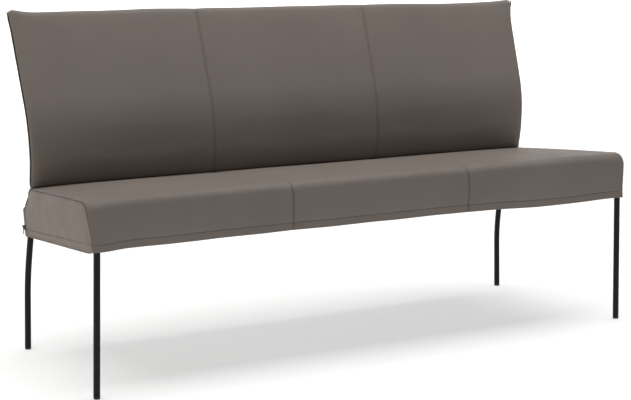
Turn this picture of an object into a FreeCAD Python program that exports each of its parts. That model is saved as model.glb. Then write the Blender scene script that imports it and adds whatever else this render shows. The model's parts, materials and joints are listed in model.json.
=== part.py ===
"""Upholstered dining bench with a leaning back, a crowned leather seat and four slim tube legs.

Millimetres. +X is to the right seen from the front, -Y is the front, +Z is up, and the origin is on
the floor under the middle of the bench.
"""

import FreeCAD
import Part
import Sketcher
import math
import os

from FreeCAD import Placement, Rotation, Vector

# Driving dimensions
DIMENSIONS = {
    "seat_half_width_front": 882,
    "seat_half_width_rear": 849,
    "seat_depth": 576,
    "seat_front": -312,
    "seat_tilt": 4.2,
    "seat_thickness": 135,
    "seat_crown": 9,
    "seat_crown_run": 121,
    "seat_seam_offset": 293,
    "front_edge_radius": 28,
    "rear_edge_radius": 55,
    "front_lean": 6,
    "front_bulge": 3,
    "side_round": 3,
    "hem_height": 390,
    "hem_band": 21,
    "hem_thickness": 2,
    "leather": 2,
    "soft_gap": 0.3,
    "side_pad": 6,
    "foam_inset": 3.1,
    "rail_thickness": 26,
    "rail_width": 56,
    "rail_underside": 10,
    "cross_rail_width": 40,
    "cross_rail_offset": 300,
    "corner_block_width": 34,
    "corner_block_length": 60,
    "strap_thickness": 2,
    "strap_width": 60,
    "straps_in_middle_bay": 4,
    "straps_in_side_bay": 5,
    "dust_cover": 0.7,
    "dust_cover_setback": 6,
    "back_front": 94.7,
    "back_overhang": 6.5,
    "back_flare": 2.06,
    "back_flare_height": 590,
    "back_bend_drop": 372,
    "back_bend_radius": 400,
    "back_lean": 19,
    "back_height": 969,
    "back_thickness": 50,
    "back_edge_depth": 14,
    "back_seam_share": 0.333,
    "back_crown": 4,
    "back_rear_crown": 4,
    "back_edge_half": 5,
    "back_edge_run": 30,
    "back_pad_depth": 19.2,
    "back_strap_front": 20.3,
    "back_strap_width": 50,
    "back_strap_count": 6,
    "back_strap_first": 60,
    "back_strap_pitch": 75,
    "post_depth": 19.7,
    "post_width": 26,
    "post_clearance": 1.3,
    "inner_post_offset": 214,
    "post_foot_depth": 53,
    "post_room_front": 86,
    "post_room_depth": 31,
    "top_rail_width": 40,
    "slot_clearance": 1,
    "bolt_radius": 4,
    "bolt_grip": 12,
    "bolt_head_radius": 6.5,
    "bolt_head_height": 5.3,
    "bolt_clearance": 0.2,
    "bolt_low": 16,
    "bolt_rise": 26,
    "insert_radius": 6,
    "insert_length": 15,
    "leg_radius": 9,
    "leg_wall": 1.5,
    "leg_splay": 1.4,
    "front_foot_inset": 3.1,
    "front_foot": -299,
    "rear_foot_inset": 4.3,
    "rear_foot": 14.5,
    "rear_bend_height": 144,
    "rear_bend_radius": 600,
    "rear_lean": 12,
    "plate_thickness": 4,
    "plate_size": 66,
    "plate_margin": 10,
    "screw_inset": 15,
    "screw_radius": 3,
    "screw_head_radius": 5.5,
    "screw_head_height": 3,
    "screw_length": 34,
    "screw_clearance": 0.2,
    "glide_height": 6,
    "glide_chamfer": 1.2,
    "glide_stem": 18,
    "glide_clearance": 0.7,
    "zip_width": 5.4,
    "zip_depth": 1.6,
    "zip_line": 10,
    "zip_stand": 2.5,
    "zip_turn": 126,
    "zip_turn_radius": 40,
    "zip_crease_radius": 12,
    "zip_upper_end": 5,
    "zip_lower_end": 3,
    "slider_width": 9,
    "slider_length": 13,
    "slider_plate": 2.6,
    "slider_start": 8,
    "slider_ear": 1.2,
    "slider_ear_length": 4,
    "slider_ear_reach": 4,
    "pull_width": 3.4,
    "pull_side_gap": 0.3,
    "pull_thickness": 1.4,
    "pull_length": 24,
    "pull_eye_radius": 1.8,
    "pin_radius": 0.8,
    "pin_clearance": 0.08,
}

doc = FreeCAD.newDocument("dining_bench")
sheet = doc.addObject("Spreadsheet::Sheet", "Sizes")
for row, (alias, number) in enumerate(DIMENSIONS.items(), start=1):
    sheet.set(f"A{row}", alias.replace("_", " "))
    sheet.set(f"B{row}", str(number))
    sheet.setAlias(f"B{row}", alias)
doc.recompute()

nodes = []
SIDES = {"left": -1, "right": 1}


def size(alias):
    """A driving dimension as a plain number."""
    return float(sheet.get(alias))


def node(obj, name):
    """Names a finished sub-part and keeps it for the hand-in."""
    obj.Label = name
    nodes.append(obj)
    return obj


def bind(obj, **expressions):
    """Binds properties of an object to expressions of the sheet's cells."""
    for prop, expression in expressions.items():
        obj.setExpression(prop, expression)
    return obj


# The tilted frame of the seat: u along X, v from the front edge to the back, w square to the seat
TILT = size("seat_tilt")
SEAT = Placement(
    Vector(0, size("seat_front"), size("hem_height")),
    Rotation(Vector(1, 0, 0), -TILT),
)
RAIL_TOP = size("rail_underside") + size("rail_width")
SKIN = size("leather") + size("soft_gap")


def in_seat(u, v, w, turn=None):
    """A placement at a point of the seat frame."""
    return SEAT.multiply(Placement(Vector(u, v, w), turn or Rotation()))


def from_rear(alias):
    """The depth v of a place that is counted forward from the seat's rear edge."""
    return size("seat_depth") - size(alias)


def half_width(v):
    """Half the seat's width at a depth v, which narrows to the rear."""
    front = size("seat_half_width_front")
    return front - (front - size("seat_half_width_rear")) * v / size("seat_depth")


def seat_box(name, place, length, width, height):
    """A box square to the seat frame, with sizes given as expressions."""
    box = doc.addObject("Part::Box", name)
    bind(box, Length=length, Width=width, Height=height)
    box.Placement = place
    return box


def cylinder(name, radius, height, place):
    """A round bar along the placement's Z axis, with sizes given as expressions."""
    bar = doc.addObject("Part::Cylinder", name)
    bind(bar, Radius=radius, Height=height)
    bar.Placement = place
    return bar


def cut(name, base, tool):
    """The base without the tool."""
    result = doc.addObject("Part::Cut", name)
    result.Base = base
    result.Tool = tool
    return result


def fuse(name, shapes):
    """One solid from several that touch or overlap."""
    result = doc.addObject("Part::MultiFuse", name)
    result.Shapes = shapes
    result.Refine = True
    return result


def group(name, shapes):
    """Several separate solids that share one node."""
    result = doc.addObject("Part::Compound", name)
    result.Links = shapes
    return result


def solid_node(name, shape):
    """A sub-part whose free form is worked out from the sheet's values."""
    feature = doc.addObject("Part::Feature", name)
    feature.Shape = shape
    feature.Placement = Placement()
    return node(feature, name)


def outline_pad(name, corners, thickness, place):
    """A body padded from a closed outline of straight sides, whose corners are pairs of expressions."""
    body = doc.addObject("PartDesign::Body", name)
    plane = next(f for f in body.Origin.OriginFeatures if f.Role == "XY_Plane")
    sketch = body.newObject("Sketcher::SketchObject", name + "_outline")
    sketch.AttachmentSupport = (plane, [""])
    sketch.MapMode = "FlatFace"
    draw_outline(sketch, corners)
    pad = body.newObject("PartDesign::Pad", name + "_pad")
    pad.Profile = sketch
    pad.setExpression("Length", thickness)
    body.Placement = place
    return body


def draw_outline(sketch, corners):
    """Straight sides between corners that stay bound to the sheet."""
    points = [[float(sketch.evalExpression(part)) for part in corner] for corner in corners]
    count = len(points)
    for here, there in zip(points, points[1:] + points[:1]):
        sketch.addGeometry(Part.LineSegment(Vector(*here, 0), Vector(*there, 0)))
    for side in range(count):
        sketch.addConstraint(Sketcher.Constraint("Coincident", side, 2, (side + 1) % count, 1))
    for side, (corner, point) in enumerate(zip(corners, points)):
        for kind, axis, part, place in zip(("DistanceX", "DistanceY"), (-2, -1), corner, point):
            if abs(place) < 1e-9:
                sketch.addConstraint(Sketcher.Constraint("PointOnObject", side, 1, axis))
                continue
            index = sketch.addConstraint(Sketcher.Constraint(kind, -1, 1, side, 1, place))
            sketch.setExpression(f"Constraints[{index}]", part)


# Legs: splayed tubes, a glide under each and a welded plate on top
FRONT_RAIL = "(Sizes.leather + Sizes.soft_gap)"
PLATE_UNDERSIDE = size("rail_underside") - size("plate_thickness")
TAPER = "(Sizes.seat_half_width_front - Sizes.seat_half_width_rear) / Sizes.seat_depth"
AROUND_Y = Vector(0, 1, 0)
AROUND_X = Vector(1, 0, 0)


def leg_bar(name, radius, row):
    """A solid bar along a leg's middle line, standing on its lower end."""
    straight = cylinder(name + "_lower", radius, "Sizes.hem_height + Sizes.rail_width", Placement())
    if row == "front":
        return straight
    straight.setExpression("Height", "Sizes.rear_bend_height")
    bend = doc.addObject("Part::Torus", name + "_bend")
    bind(bend, Radius1="Sizes.rear_bend_radius", Radius2=radius, Angle3="Sizes.rear_lean")
    swing = size("rear_bend_radius")
    lean = math.radians(size("rear_lean"))
    base = Vector(0, -swing, size("rear_bend_height"))
    bend.Placement = Placement(base, Rotation(Vector(1, 1, 1), 120))
    end = base + Vector(0, swing * math.cos(lean), swing * math.sin(lean))
    upper = cylinder(name + "_upper", radius, "Sizes.hem_height - Sizes.rear_bend_height", Placement())
    upper.Placement = Placement(end, Rotation(AROUND_X, size("rear_lean")))
    return fuse(name, [straight, bend, upper])


def plate_start(row, v):
    """The front edge of a leg plate whose leg meets it at a depth v."""
    margin = size("plate_margin")
    return v - margin if row == "front" else v + margin - size("plate_size")


def foot_point(row, side):
    """The middle of a foot: far enough in for its plate to clear the tapered hem."""
    y = size(row + "_foot")
    if row == "rear":
        y += size("seat_front") + size("seat_depth") * math.cos(math.radians(TILT))
    if not side:
        return Vector(0, y, 0)
    start = plate_start(row, leg_top(row, 0)[1])
    room = min(half_width(start), half_width(start + size("plate_size")))
    return Vector(side * (room - size(row + "_foot_inset")), y, 0)


def leg_top(row, side):
    """Where a leg's middle line meets its plate, as u and v of the seat frame."""
    splay = math.tan(math.radians(size("leg_splay")))
    foot = foot_point(row, side)
    lean = math.radians(size("rear_lean")) if row == "rear" else 0
    swing = size("rear_bend_radius")
    start = Vector(foot.x, foot.y, size("glide_height"))
    if row == "rear":
        rise = size("rear_bend_height") + swing * math.sin(lean)
        start += Vector(0, -swing * (1 - math.cos(lean)), rise)
        start.x -= side * splay * rise
    along = Vector(-side * splay, -math.tan(lean), 1)
    below = SEAT.inverse().multVec(start)
    step = SEAT.Rotation.inverted().multVec(along)
    meet = below + step * ((PLATE_UNDERSIDE - below.z) / step.z)
    return meet.x, meet.y


def screw_spots(row, side):
    """The three screws of a leg plate: the tube takes the fourth corner."""
    u, v = leg_top(row, side)
    inward = -side
    back = 1 if row == "front" else -1
    far = size("plate_size") - size("plate_margin") - size("screw_inset")
    near = size("screw_inset") - size("plate_margin")
    return [
        (u + inward * far, v + back * near),
        (u + inward * far, v + back * far),
        (u + inward * near, v + back * far),
    ]


def leg(row, word):
    """One leg: tube, plate and glide."""
    side = SIDES[word]
    name = f"{row}_{word}"
    foot = foot_point(row, side)
    outer = leg_bar(name + "_outer", "Sizes.leg_radius", row)
    inner = leg_bar(name + "_bore", "Sizes.leg_radius - Sizes.leg_wall", row)
    tube = cut(name + "_tube", outer, inner)
    stand = Vector(foot.x, foot.y, size("glide_height") + size("soft_gap"))
    tube.Placement = Placement(stand, Rotation(AROUND_Y, -side * size("leg_splay")))
    reach = size("seat_half_width_front") + size("seat_half_width_rear")
    corner = in_seat(-reach, -size("seat_depth") / 2, PLATE_UNDERSIDE)
    both_ends = "2 * (Sizes.seat_half_width_front + Sizes.seat_half_width_rear)"
    above = seat_box(name + "_above", corner, both_ends, "2 * Sizes.seat_depth", "Sizes.hem_height")
    node(cut(name + "_trimmed", tube, above), name + "_leg")

    u, v = leg_top(row, side)
    span = size("plate_size")
    margin = size("plate_margin")
    low_u = u + margin - span if side > 0 else u - margin
    corner = in_seat(low_u, plate_start(row, v), PLATE_UNDERSIDE)
    blank = seat_box(name + "_blank", corner, "Sizes.plate_size", "Sizes.plate_size", "Sizes.plate_thickness")
    holes = [
        cylinder(f"{name}_hole_{i}", "Sizes.screw_radius + Sizes.screw_clearance",
                 "Sizes.plate_thickness * 2", in_seat(*spot, PLATE_UNDERSIDE - size("plate_thickness") / 2))
        for i, spot in enumerate(screw_spots(row, side))
    ]
    node(cut(name + "_drilled", blank, group(name + "_holes", holes)), name + "_leg_plate")

    body = doc.addObject("PartDesign::Body", name + "_glide_body")
    plane = next(f for f in body.Origin.OriginFeatures if f.Role == "XZ_Plane")
    sketch = body.newObject("Sketcher::SketchObject", name + "_glide_outline")
    sketch.AttachmentSupport = (plane, [""])
    sketch.MapMode = "FlatFace"
    stem = "Sizes.leg_radius - Sizes.leg_wall - Sizes.glide_clearance"
    draw_outline(sketch, [
        ("0", "0"),
        ("Sizes.leg_radius - Sizes.glide_chamfer", "0"),
        ("Sizes.leg_radius", "Sizes.glide_chamfer"),
        ("Sizes.leg_radius", "Sizes.glide_height"),
        (stem, "Sizes.glide_height"),
        (stem, "Sizes.glide_height + Sizes.glide_stem"),
        ("0", "Sizes.glide_height + Sizes.glide_stem"),
    ])
    turned = body.newObject("PartDesign::Revolution", name + "_glide_turned")
    turned.Profile = sketch
    turned.ReferenceAxis = (sketch, ["V_Axis"])
    turned.Angle = 360
    body.Placement = Placement(foot, Rotation())
    node(body, name + "_glide")


CORNERS = [(row, word) for row in ("front", "rear") for word in SIDES]
for corner in CORNERS:
    leg(*corner)


def screw(name, spot):
    """A pan head screw that comes up through a leg plate."""
    head_height = size("screw_head_height")
    head = cylinder(name + "_head", "Sizes.screw_head_radius", "Sizes.screw_head_height",
                    in_seat(*spot, PLATE_UNDERSIDE - head_height))
    shank = cylinder(name + "_shank", "Sizes.screw_radius", "Sizes.screw_length",
                     in_seat(*spot, PLATE_UNDERSIDE))
    return fuse(name, [head, shank])


def screw_bore(name, spot):
    """The pilot hole of a leg screw in the timber above its plate."""
    return cylinder(name, "Sizes.screw_radius + Sizes.screw_clearance",
                    "Sizes.screw_length + Sizes.screw_clearance", in_seat(*spot, PLATE_UNDERSIDE))


SPOTS = [spot for row, word in CORNERS for spot in screw_spots(row, SIDES[word])]
node(group("screws", [screw(f"screw_{i}", spot) for i, spot in enumerate(SPOTS)]), "leg_screws")


# Seat frame: timber rails, cross rails and corner blocks
REAR_FACE = size("seat_depth") - SKIN
REAR_RAIL = REAR_FACE - size("rail_thickness")
FRONT_FACE = SKIN
SIDE_START = FRONT_FACE + size("rail_thickness")
RAIL_ENDS = "Sizes.side_pad + Sizes.soft_gap"
FRONT_RAIL_REAR = f"({FRONT_RAIL} + Sizes.rail_thickness)"
SIDE_FRONT = FRONT_RAIL_REAR
SIDE_REAR = "(Sizes.seat_depth - Sizes.leather - Sizes.soft_gap - Sizes.rail_thickness)"


def width_at(v):
    """Half the seat's width at a depth, as an expression."""
    return f"(Sizes.seat_half_width_front - {TAPER} * {v})"


FRONT_LENGTH = f"2 * (min({width_at(FRONT_RAIL)}; {width_at(SIDE_FRONT)}) - ({RAIL_ENDS}))"
REAR_LENGTH = f"2 * (min({width_at(SIDE_REAR)}; Sizes.seat_half_width_rear) - ({RAIL_ENDS}))"
BLOCK_FRONT = f"({SIDE_REAR} - Sizes.corner_block_length)"
BLOCK_INSET = f"({RAIL_ENDS} + Sizes.rail_thickness + Sizes.corner_block_width)"
SEAT_ROOM = f"(min({width_at(SIDE_REAR)}; {width_at(BLOCK_FRONT)}) - {BLOCK_INSET})"
OUTER_POST = f"({SEAT_ROOM} - Sizes.post_clearance - Sizes.post_width / 2)"


def rail(name, length, v):
    """A rail across the bench, before it is drilled."""
    timber = seat_box(name, Placement(), length, "Sizes.rail_thickness", "Sizes.rail_width")
    doc.recompute()
    timber.Placement = in_seat(-timber.Length.Value / 2, v, size("rail_underside"))
    return timber


front_blank = rail("front_rail_blank", FRONT_LENGTH, FRONT_FACE)
rear_blank = rail("rear_rail_blank", REAR_LENGTH, REAR_RAIL)
OUTER = float(rear_blank.evalExpression(OUTER_POST))


def post_spots():
    """The u places of the four back posts."""
    return [side * offset for offset in (OUTER, size("inner_post_offset")) for side in (-1, 1)]


def bolt_spots():
    """The u and w of each bolt through a post's foot."""
    low = size("rail_underside") + size("bolt_low")
    return [(u, w) for u in post_spots() for w in (low, low + size("bolt_rise"))]


ALONG_V = Rotation(AROUND_X, -90)
INSERT_BORES = [
    cylinder(f"insert_bore_{i}", "Sizes.insert_radius", "Sizes.insert_length",
             in_seat(u, REAR_RAIL, w, ALONG_V))
    for i, (u, w) in enumerate(bolt_spots())
]
FRONT_BORES = [screw_bore(f"front_bore_{i}", spot) for i, spot in enumerate(SPOTS[:6])]
node(cut("front_rail", front_blank, group("front_bores", FRONT_BORES)), "seat_front_rail")
rear_holes = group("rear_rail_holes", [
    *[screw_bore(f"rear_rail_bore_{i}", spot) for i, spot in enumerate(SPOTS[6:])],
    *INSERT_BORES,
])
node(cut("rear_rail", rear_blank, rear_holes), "seat_rear_rail")



def side_place(sign, v, inset):
    """The u of a line that follows the tapered side, as an expression."""
    return f"{sign} * ({width_at(v)} - ({inset}))"


def side_strip(name, sign, front, rear, inset, thickness, height, w):
    """A strip along a tapered side of the seat."""
    inner = f"{inset} + {thickness}"
    corners = [
        (side_place(sign, front, inset), front),
        (side_place(sign, rear, inset), rear),
        (side_place(sign, rear, inner), rear),
        (side_place(sign, front, inner), front),
    ]
    return outline_pad(name, corners, height, in_seat(0, 0, w))


for word, sign in SIDES.items():
    strip = side_strip(f"{word}_rail_blank", sign, SIDE_FRONT, SIDE_REAR, RAIL_ENDS,
                       "Sizes.rail_thickness", "Sizes.rail_width", size("rail_underside"))
    spots = [s for s in SPOTS if s[0] * sign > 0]
    bores = [screw_bore(f"{word}_rail_bore_{i}", spot) for i, spot in enumerate(spots)]
    node(cut(f"{word}_rail", strip, group(f"{word}_rail_bores", bores)), f"seat_{word}_rail")

CROSS_LENGTH = f"{SIDE_REAR} - {SIDE_FRONT}"
for word, sign in SIDES.items():
    middle = sign * size("cross_rail_offset")
    corner = in_seat(middle - size("rail_thickness") / 2, SIDE_START, size("rail_underside"))
    cross = seat_box(f"{word}_cross", corner, "Sizes.rail_thickness", CROSS_LENGTH, "Sizes.cross_rail_width")
    node(cross, f"seat_{word}_cross_rail")


def corner_block(row, word):
    """A glued block behind a leg plate, in the corner of two rails."""
    sign = SIDES[word]
    start = SIDE_FRONT if row == "front" else BLOCK_FRONT
    end = f"({start} + Sizes.corner_block_length)"
    inset = f"{RAIL_ENDS} + Sizes.rail_thickness"
    name = f"{row}_{word}_block"
    block = side_strip(name, sign, start, end, inset, "Sizes.corner_block_width", "Sizes.cross_rail_width",
                       size("rail_underside"))
    bores = [screw_bore(f"{name}_bore_{i}", spot) for i, spot in enumerate(screw_spots(row, sign))]
    return cut(name + "_drilled", block, group(name + "_bores", bores))


node(group("blocks", [corner_block(*corner) for corner in CORNERS]), "seat_corner_blocks")


# Elastic straps across the seat frame and the cloth that closes the underside
def strap_places():
    """The middles of the seat straps, spread evenly between the back posts."""
    inner = size("inner_post_offset")
    in_middle = int(size("straps_in_middle_bay"))
    in_side = int(size("straps_in_side_bay"))
    middle = [inner * ((2 * i + 1) / in_middle - 1) for i in range(in_middle)]
    beside = [inner + (OUTER - inner) * (i + 0.5) / in_side for i in range(in_side)]
    return [-place for place in reversed(beside)] + middle + beside


def seat_strap(index, middle):
    """One strap from the front rail to the rear rail, on top of both."""
    length = f"{SIDE_REAR} - {FRONT_RAIL} + Sizes.rail_thickness"
    strap = seat_box(f"strap_{index}", Placement(), "Sizes.strap_width", length, "Sizes.strap_thickness")
    strap.Placement = in_seat(middle - size("strap_width") / 2, FRONT_FACE, RAIL_TOP)
    return strap


node(group("straps", [seat_strap(i, place) for i, place in enumerate(strap_places())]), "seat_webbing")

NARROW_END = "min(Sizes.seat_half_width_front; Sizes.seat_half_width_rear)"
DUST_WIDE = f"({NARROW_END} - Sizes.side_pad - Sizes.dust_cover_setback)"
DUST_NARROW = f"({DUST_WIDE} - Sizes.plate_size)"
DUST_FRONT = f"({FRONT_RAIL} + Sizes.dust_cover_setback)"
DUST_REAR = f"(Sizes.seat_depth - {DUST_FRONT})"
DUST_FRONT_STEP = f"({DUST_FRONT} + Sizes.plate_size)"
DUST_REAR_STEP = f"({DUST_REAR} - Sizes.plate_size)"
DUST_CORNERS = [
    (f"-{DUST_NARROW}", DUST_FRONT),
    (DUST_NARROW, DUST_FRONT),
    (DUST_NARROW, DUST_FRONT_STEP),
    (DUST_WIDE, DUST_FRONT_STEP),
    (DUST_WIDE, DUST_REAR_STEP),
    (DUST_NARROW, DUST_REAR_STEP),
    (DUST_NARROW, DUST_REAR),
    (f"-{DUST_NARROW}", DUST_REAR),
    (f"-{DUST_NARROW}", DUST_REAR_STEP),
    (f"-{DUST_WIDE}", DUST_REAR_STEP),
    (f"-{DUST_WIDE}", DUST_FRONT_STEP),
    (f"-{DUST_NARROW}", DUST_FRONT_STEP),
]
node(outline_pad("dust_cloth", DUST_CORNERS, "Sizes.dust_cover",
                 in_seat(0, 0, size("rail_underside") - size("dust_cover"))), "underside_cloth")


# Hem bands round the foot of the seat cover
HEM = "Sizes.hem_thickness"
front_hem = seat_box("front_hem", Placement(), "2 * Sizes.seat_half_width_front", HEM, "Sizes.hem_band")
front_hem.Placement = in_seat(-size("seat_half_width_front"), 0, 0)
node(front_hem, "hem_front")
rear_hem = seat_box("rear_hem", Placement(), "2 * Sizes.seat_half_width_rear", HEM, "Sizes.hem_band")
rear_hem.Placement = in_seat(-size("seat_half_width_rear"), size("seat_depth") - size("hem_thickness"), 0)
node(rear_hem, "hem_rear")
for word, sign in SIDES.items():
    node(side_strip(f"{word}_hem", sign, HEM, f"(Sizes.seat_depth - {HEM})", "0", HEM, "Sizes.hem_band", 0),
         f"hem_{word}")


# Soft seat: closed outlines of lines and arcs, lofted along the bench
def joined(start, moves):
    """A wire from a start point through moves: an end point, or a point on the way and an end point."""
    edges = []
    here = start
    for *via, there in moves:
        curve = Part.Arc(here, via[0], there) if via else Part.LineSegment(here, there)
        edges.append(curve.toShape())
        here = there
    return Part.Wire(edges)


def turned_back(start, moves):
    """The same moves walked from the far end."""
    stops = [start, *[move[-1] for move in moves]]
    return [(*move[:-1], stop) for move, stop in zip(reversed(moves), reversed(stops[:-1]))]


def seat_point(share, v, w):
    """A point of the seat whose u is a share of the tapered half width."""
    return SEAT.multVec(Vector(share * half_width(v), v, w))


HALF_TURN = math.sqrt(0.5)


def seat_path(share, swell, inset, base, stop=None):
    """The outside of the seat from its front foot over the top to its rear foot, or down at a stop."""
    top = size("seat_thickness") - inset
    front_radius = size("front_edge_radius") - inset
    rear_radius = size("rear_edge_radius") - inset
    shoulder = top - front_radius
    rear = size("seat_depth") - inset
    crown_end = from_rear("seat_crown_run")

    def front(w):
        return inset - size("front_lean") * w / shoulder

    def at(v, w):
        return seat_point(share, v, w)

    middle = (base + shoulder) / 2
    whole = size("seat_thickness") - size("front_edge_radius") - size("hem_band")
    bulge = (size("front_bulge") * swell + size("soft_gap")) * ((shoulder - base) / whole) ** 2
    edge = front(shoulder)
    crown_start = edge + front_radius
    start = at(front(base), base)
    moves = [
        (at(front(middle) - bulge, middle), at(edge, shoulder)),
        (at(crown_start - front_radius * HALF_TURN, shoulder + front_radius * HALF_TURN),
         at(crown_start, top)),
        (at((crown_start + crown_end) / 2, top + size("seat_crown") * swell), at(crown_end, top)),
    ]
    if stop:
        return start, [*moves, (at(stop, top),), (at(stop, base),)]
    slack = rear_radius * (1 - HALF_TURN)
    roll = [
        (at(rear - rear_radius, top),),
        (at(rear - slack, top - slack), at(rear, top - rear_radius)),
        (at(rear, base),),
    ]
    return start, moves + roll


def seat_ring(share, swell, base):
    """The cut edge of the seat cover at one place along the bench."""
    start, out = seat_path(share, swell, 0, base)
    inner_start, inner = seat_path(share, swell, size("leather"), base)
    end = inner[-1][-1]
    return joined(start, [*out, (end,), *turned_back(inner_start, inner), (start,)])


def seat_block(share, swell, inset, base, stop=None):
    """A filled outline of the seat at one place along the bench."""
    start, moves = seat_path(share, swell, inset, base, stop)
    return joined(start, [*moves, (start,)])


SEAM = size("seat_seam_offset") / size("seat_half_width_front")
END = 1 - size("side_pad") / size("seat_half_width_rear")
FOAM_END = END - size("soft_gap") / size("seat_half_width_rear")
END_SWELL = 0.1
SEAM_SWELL = 0.75


def panel_stations(first, last):
    """Five even stations across one sewn panel, each with how far the padding swells there."""
    swells = {0: SEAM_SWELL, 1: 0.95, 2: 1.0, 3: 0.95, 4: SEAM_SWELL}
    if first < -SEAM - 0.01:
        swells[0] = END_SWELL
        swells[1] = 0.85
    if last > SEAM + 0.01:
        swells[4] = END_SWELL
        swells[3] = 0.85
    return [(round(first + (last - first) * i / 4, 6), swell) for i, swell in swells.items()]


PANELS = {"left": (-END, -SEAM), "centre": (-SEAM, SEAM), "right": (SEAM, END)}


def post_slot(u):
    """The opening that a back post needs in the seat cover."""
    width = size("post_width") + 2 * size("slot_clearance")
    slot = Part.makeBox(width, size("post_room_depth"), size("rear_edge_radius"))
    low = size("seat_thickness") - size("rear_edge_radius") / 2
    slot.Placement = in_seat(u - width / 2, from_rear("post_room_front"), low)
    return slot


for word, (first, last) in PANELS.items():
    rings = [seat_ring(share, swell, size("hem_band")) for share, swell in panel_stations(first, last)]
    cover = Part.makeLoft(rings, True)
    for u in post_spots():
        if first < u / size("seat_half_width_rear") < last:
            cover = cover.cut(post_slot(u))
    solid_node(f"seat_cover_{word}", cover)

for word, sign in SIDES.items():
    steps = [(END, 0), ((END + 1) / 2, size("side_round") / 5), (1, size("side_round"))]
    caps = [seat_block(sign * share, END_SWELL, inset, size("hem_band")) for share, inset in steps]
    solid_node(f"seat_side_{word}", Part.makeLoft(caps, True, True))

FOAM_BASE = RAIL_TOP + size("strap_thickness") + size("soft_gap")
FOAM_PLACES = {}
for panel in PANELS.values():
    FOAM_PLACES.update(panel_stations(*panel))
FOAM_PLACES = {max(-FOAM_END, min(FOAM_END, share)): swell for share, swell in sorted(FOAM_PLACES.items())}
foam = [
    seat_block(share, swell, size("foam_inset"), FOAM_BASE, from_rear("post_room_front"))
    for share, swell in FOAM_PLACES.items()
]
solid_node("seat_foam", Part.makeLoft(foam, True, True))


def bolster_outline(share):
    """The foam roll behind the back posts."""
    front = from_rear("post_room_front") + size("post_room_depth")
    radius = size("rear_edge_radius") - SKIN
    middle_v = size("seat_depth") - size("rear_edge_radius")
    middle_w = size("seat_thickness") - size("rear_edge_radius")

    def at(angle):
        return seat_point(share, middle_v + radius * math.cos(angle), middle_w + radius * math.sin(angle))

    top_angle = math.acos((front - middle_v) / radius)
    foot = seat_point(share, front, FOAM_BASE)
    moves = [
        (at(top_angle),),
        (at(top_angle / 2), at(0)),
        (seat_point(share, middle_v + radius, FOAM_BASE),),
        (foot,),
    ]
    return joined(foot, moves)


bolster = [bolster_outline(share) for share in (-FOAM_END, FOAM_END)]
solid_node("seat_rear_foam", Part.makeLoft(bolster, True, True))


# Back: a straight foot, a bend and a leaning upper part, with n counted rearward from its front face
BEND = size("back_height") - size("back_bend_drop")
SWING = size("back_bend_radius")
LEAN = math.radians(size("back_lean"))
SLOPE = math.radians(TILT)
EDGE = size("back_edge_depth")
TOP_RUN = (size("back_height") - BEND - (SWING - EDGE) * math.sin(LEAN)) / math.cos(LEAN)
TOP_RADIUS = size("back_thickness") - EDGE
LEDGE = size("seat_thickness") + size("soft_gap")
BACK_FRONT = size("seat_front") + from_rear("back_front") * math.cos(SLOPE)
EDGE_Y = BACK_FRONT + EDGE
EDGE_V = (EDGE_Y - size("seat_front") - size("zip_turn") * math.sin(SLOPE)) / math.cos(SLOPE)
BACK_SLANT = math.tan(math.radians(size("back_flare")))
ZIP_V = from_rear("zip_line")
ZIP_FOOT = size("hem_height") - ZIP_V * math.sin(SLOPE) + size("zip_lower_end") * math.cos(SLOPE)
ZIP_DRAW = BACK_SLANT * (size("back_flare_height") - ZIP_FOOT)
BACK_HALF = max(
    half_width(EDGE_V) + size("back_overhang"),
    half_width(ZIP_V) + size("zip_stand") + ZIP_DRAW,
)


def back_point(share, y, z):
    """A point of the back whose X is a share of its half width, which flares upward."""
    return Vector(share * (BACK_HALF + BACK_SLANT * (z - size("back_flare_height"))), y, z)


def on_bend(share, n, angle, run=0):
    """A point at an angle of the bend, and beyond it when a run is given."""
    y = BACK_FRONT + SWING - (SWING - n) * math.cos(angle) + run * math.sin(angle)
    z = BEND + (SWING - n) * math.sin(angle) + run * math.cos(angle)
    return back_point(share, y, z)


def on_base(share, n, w):
    """A point of the straight foot at a height of the seat frame."""
    y = BACK_FRONT + n
    v = (y - size("seat_front") - w * math.sin(SLOPE)) / math.cos(SLOPE)
    return back_point(share, y, size("hem_height") - v * math.sin(SLOPE) + w * math.cos(SLOPE))


def back_face(share, n, run, base):
    """The line of the back at one depth, from its base to a run above the bend."""
    moves = [
        (on_bend(share, n, 0),),
        (on_bend(share, n, LEAN / 2), on_bend(share, n, LEAN)),
        (on_bend(share, n, LEAN, run),),
    ]
    return on_base(share, n, base), moves


def back_slab(share, front, rear, run, base):
    """A filled outline between two depths of the back."""
    start, out = back_face(share, front, run, base)
    rear_start, inner = back_face(share, rear, run, base)
    end = inner[-1][-1]
    return joined(start, [*out, (end,), *turned_back(rear_start, inner), (start,)])


def half_cover(share, face, inset, sign):
    """The front or rear skin's line from the base round the top to the edge plane."""
    middle = EDGE + sign * size("soft_gap") / 2
    radius = (face - middle) * sign
    small = radius - inset
    n = face - sign * inset
    run = TOP_RUN - radius
    start, moves = back_face(share, n, run, LEDGE)
    over = on_bend(share, middle + sign * small * HALF_TURN, LEAN, run + small * HALF_TURN)
    return start, [*moves, (over, on_bend(share, middle, LEAN, run + small))]


def back_ring(share, face, sign):
    """The cut edge of a front or rear skin at one place along the bench."""
    start, out = half_cover(share, face, 0, sign)
    inner_start, inner = half_cover(share, face, size("leather"), sign)
    end = inner[-1][-1]
    return joined(start, [*out, (end,), *turned_back(inner_start, inner), (start,)])


BACK_SEAM = size("back_seam_share")
BACK_END = 1 - (size("zip_depth") + size("soft_gap")) / BACK_HALF


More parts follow.
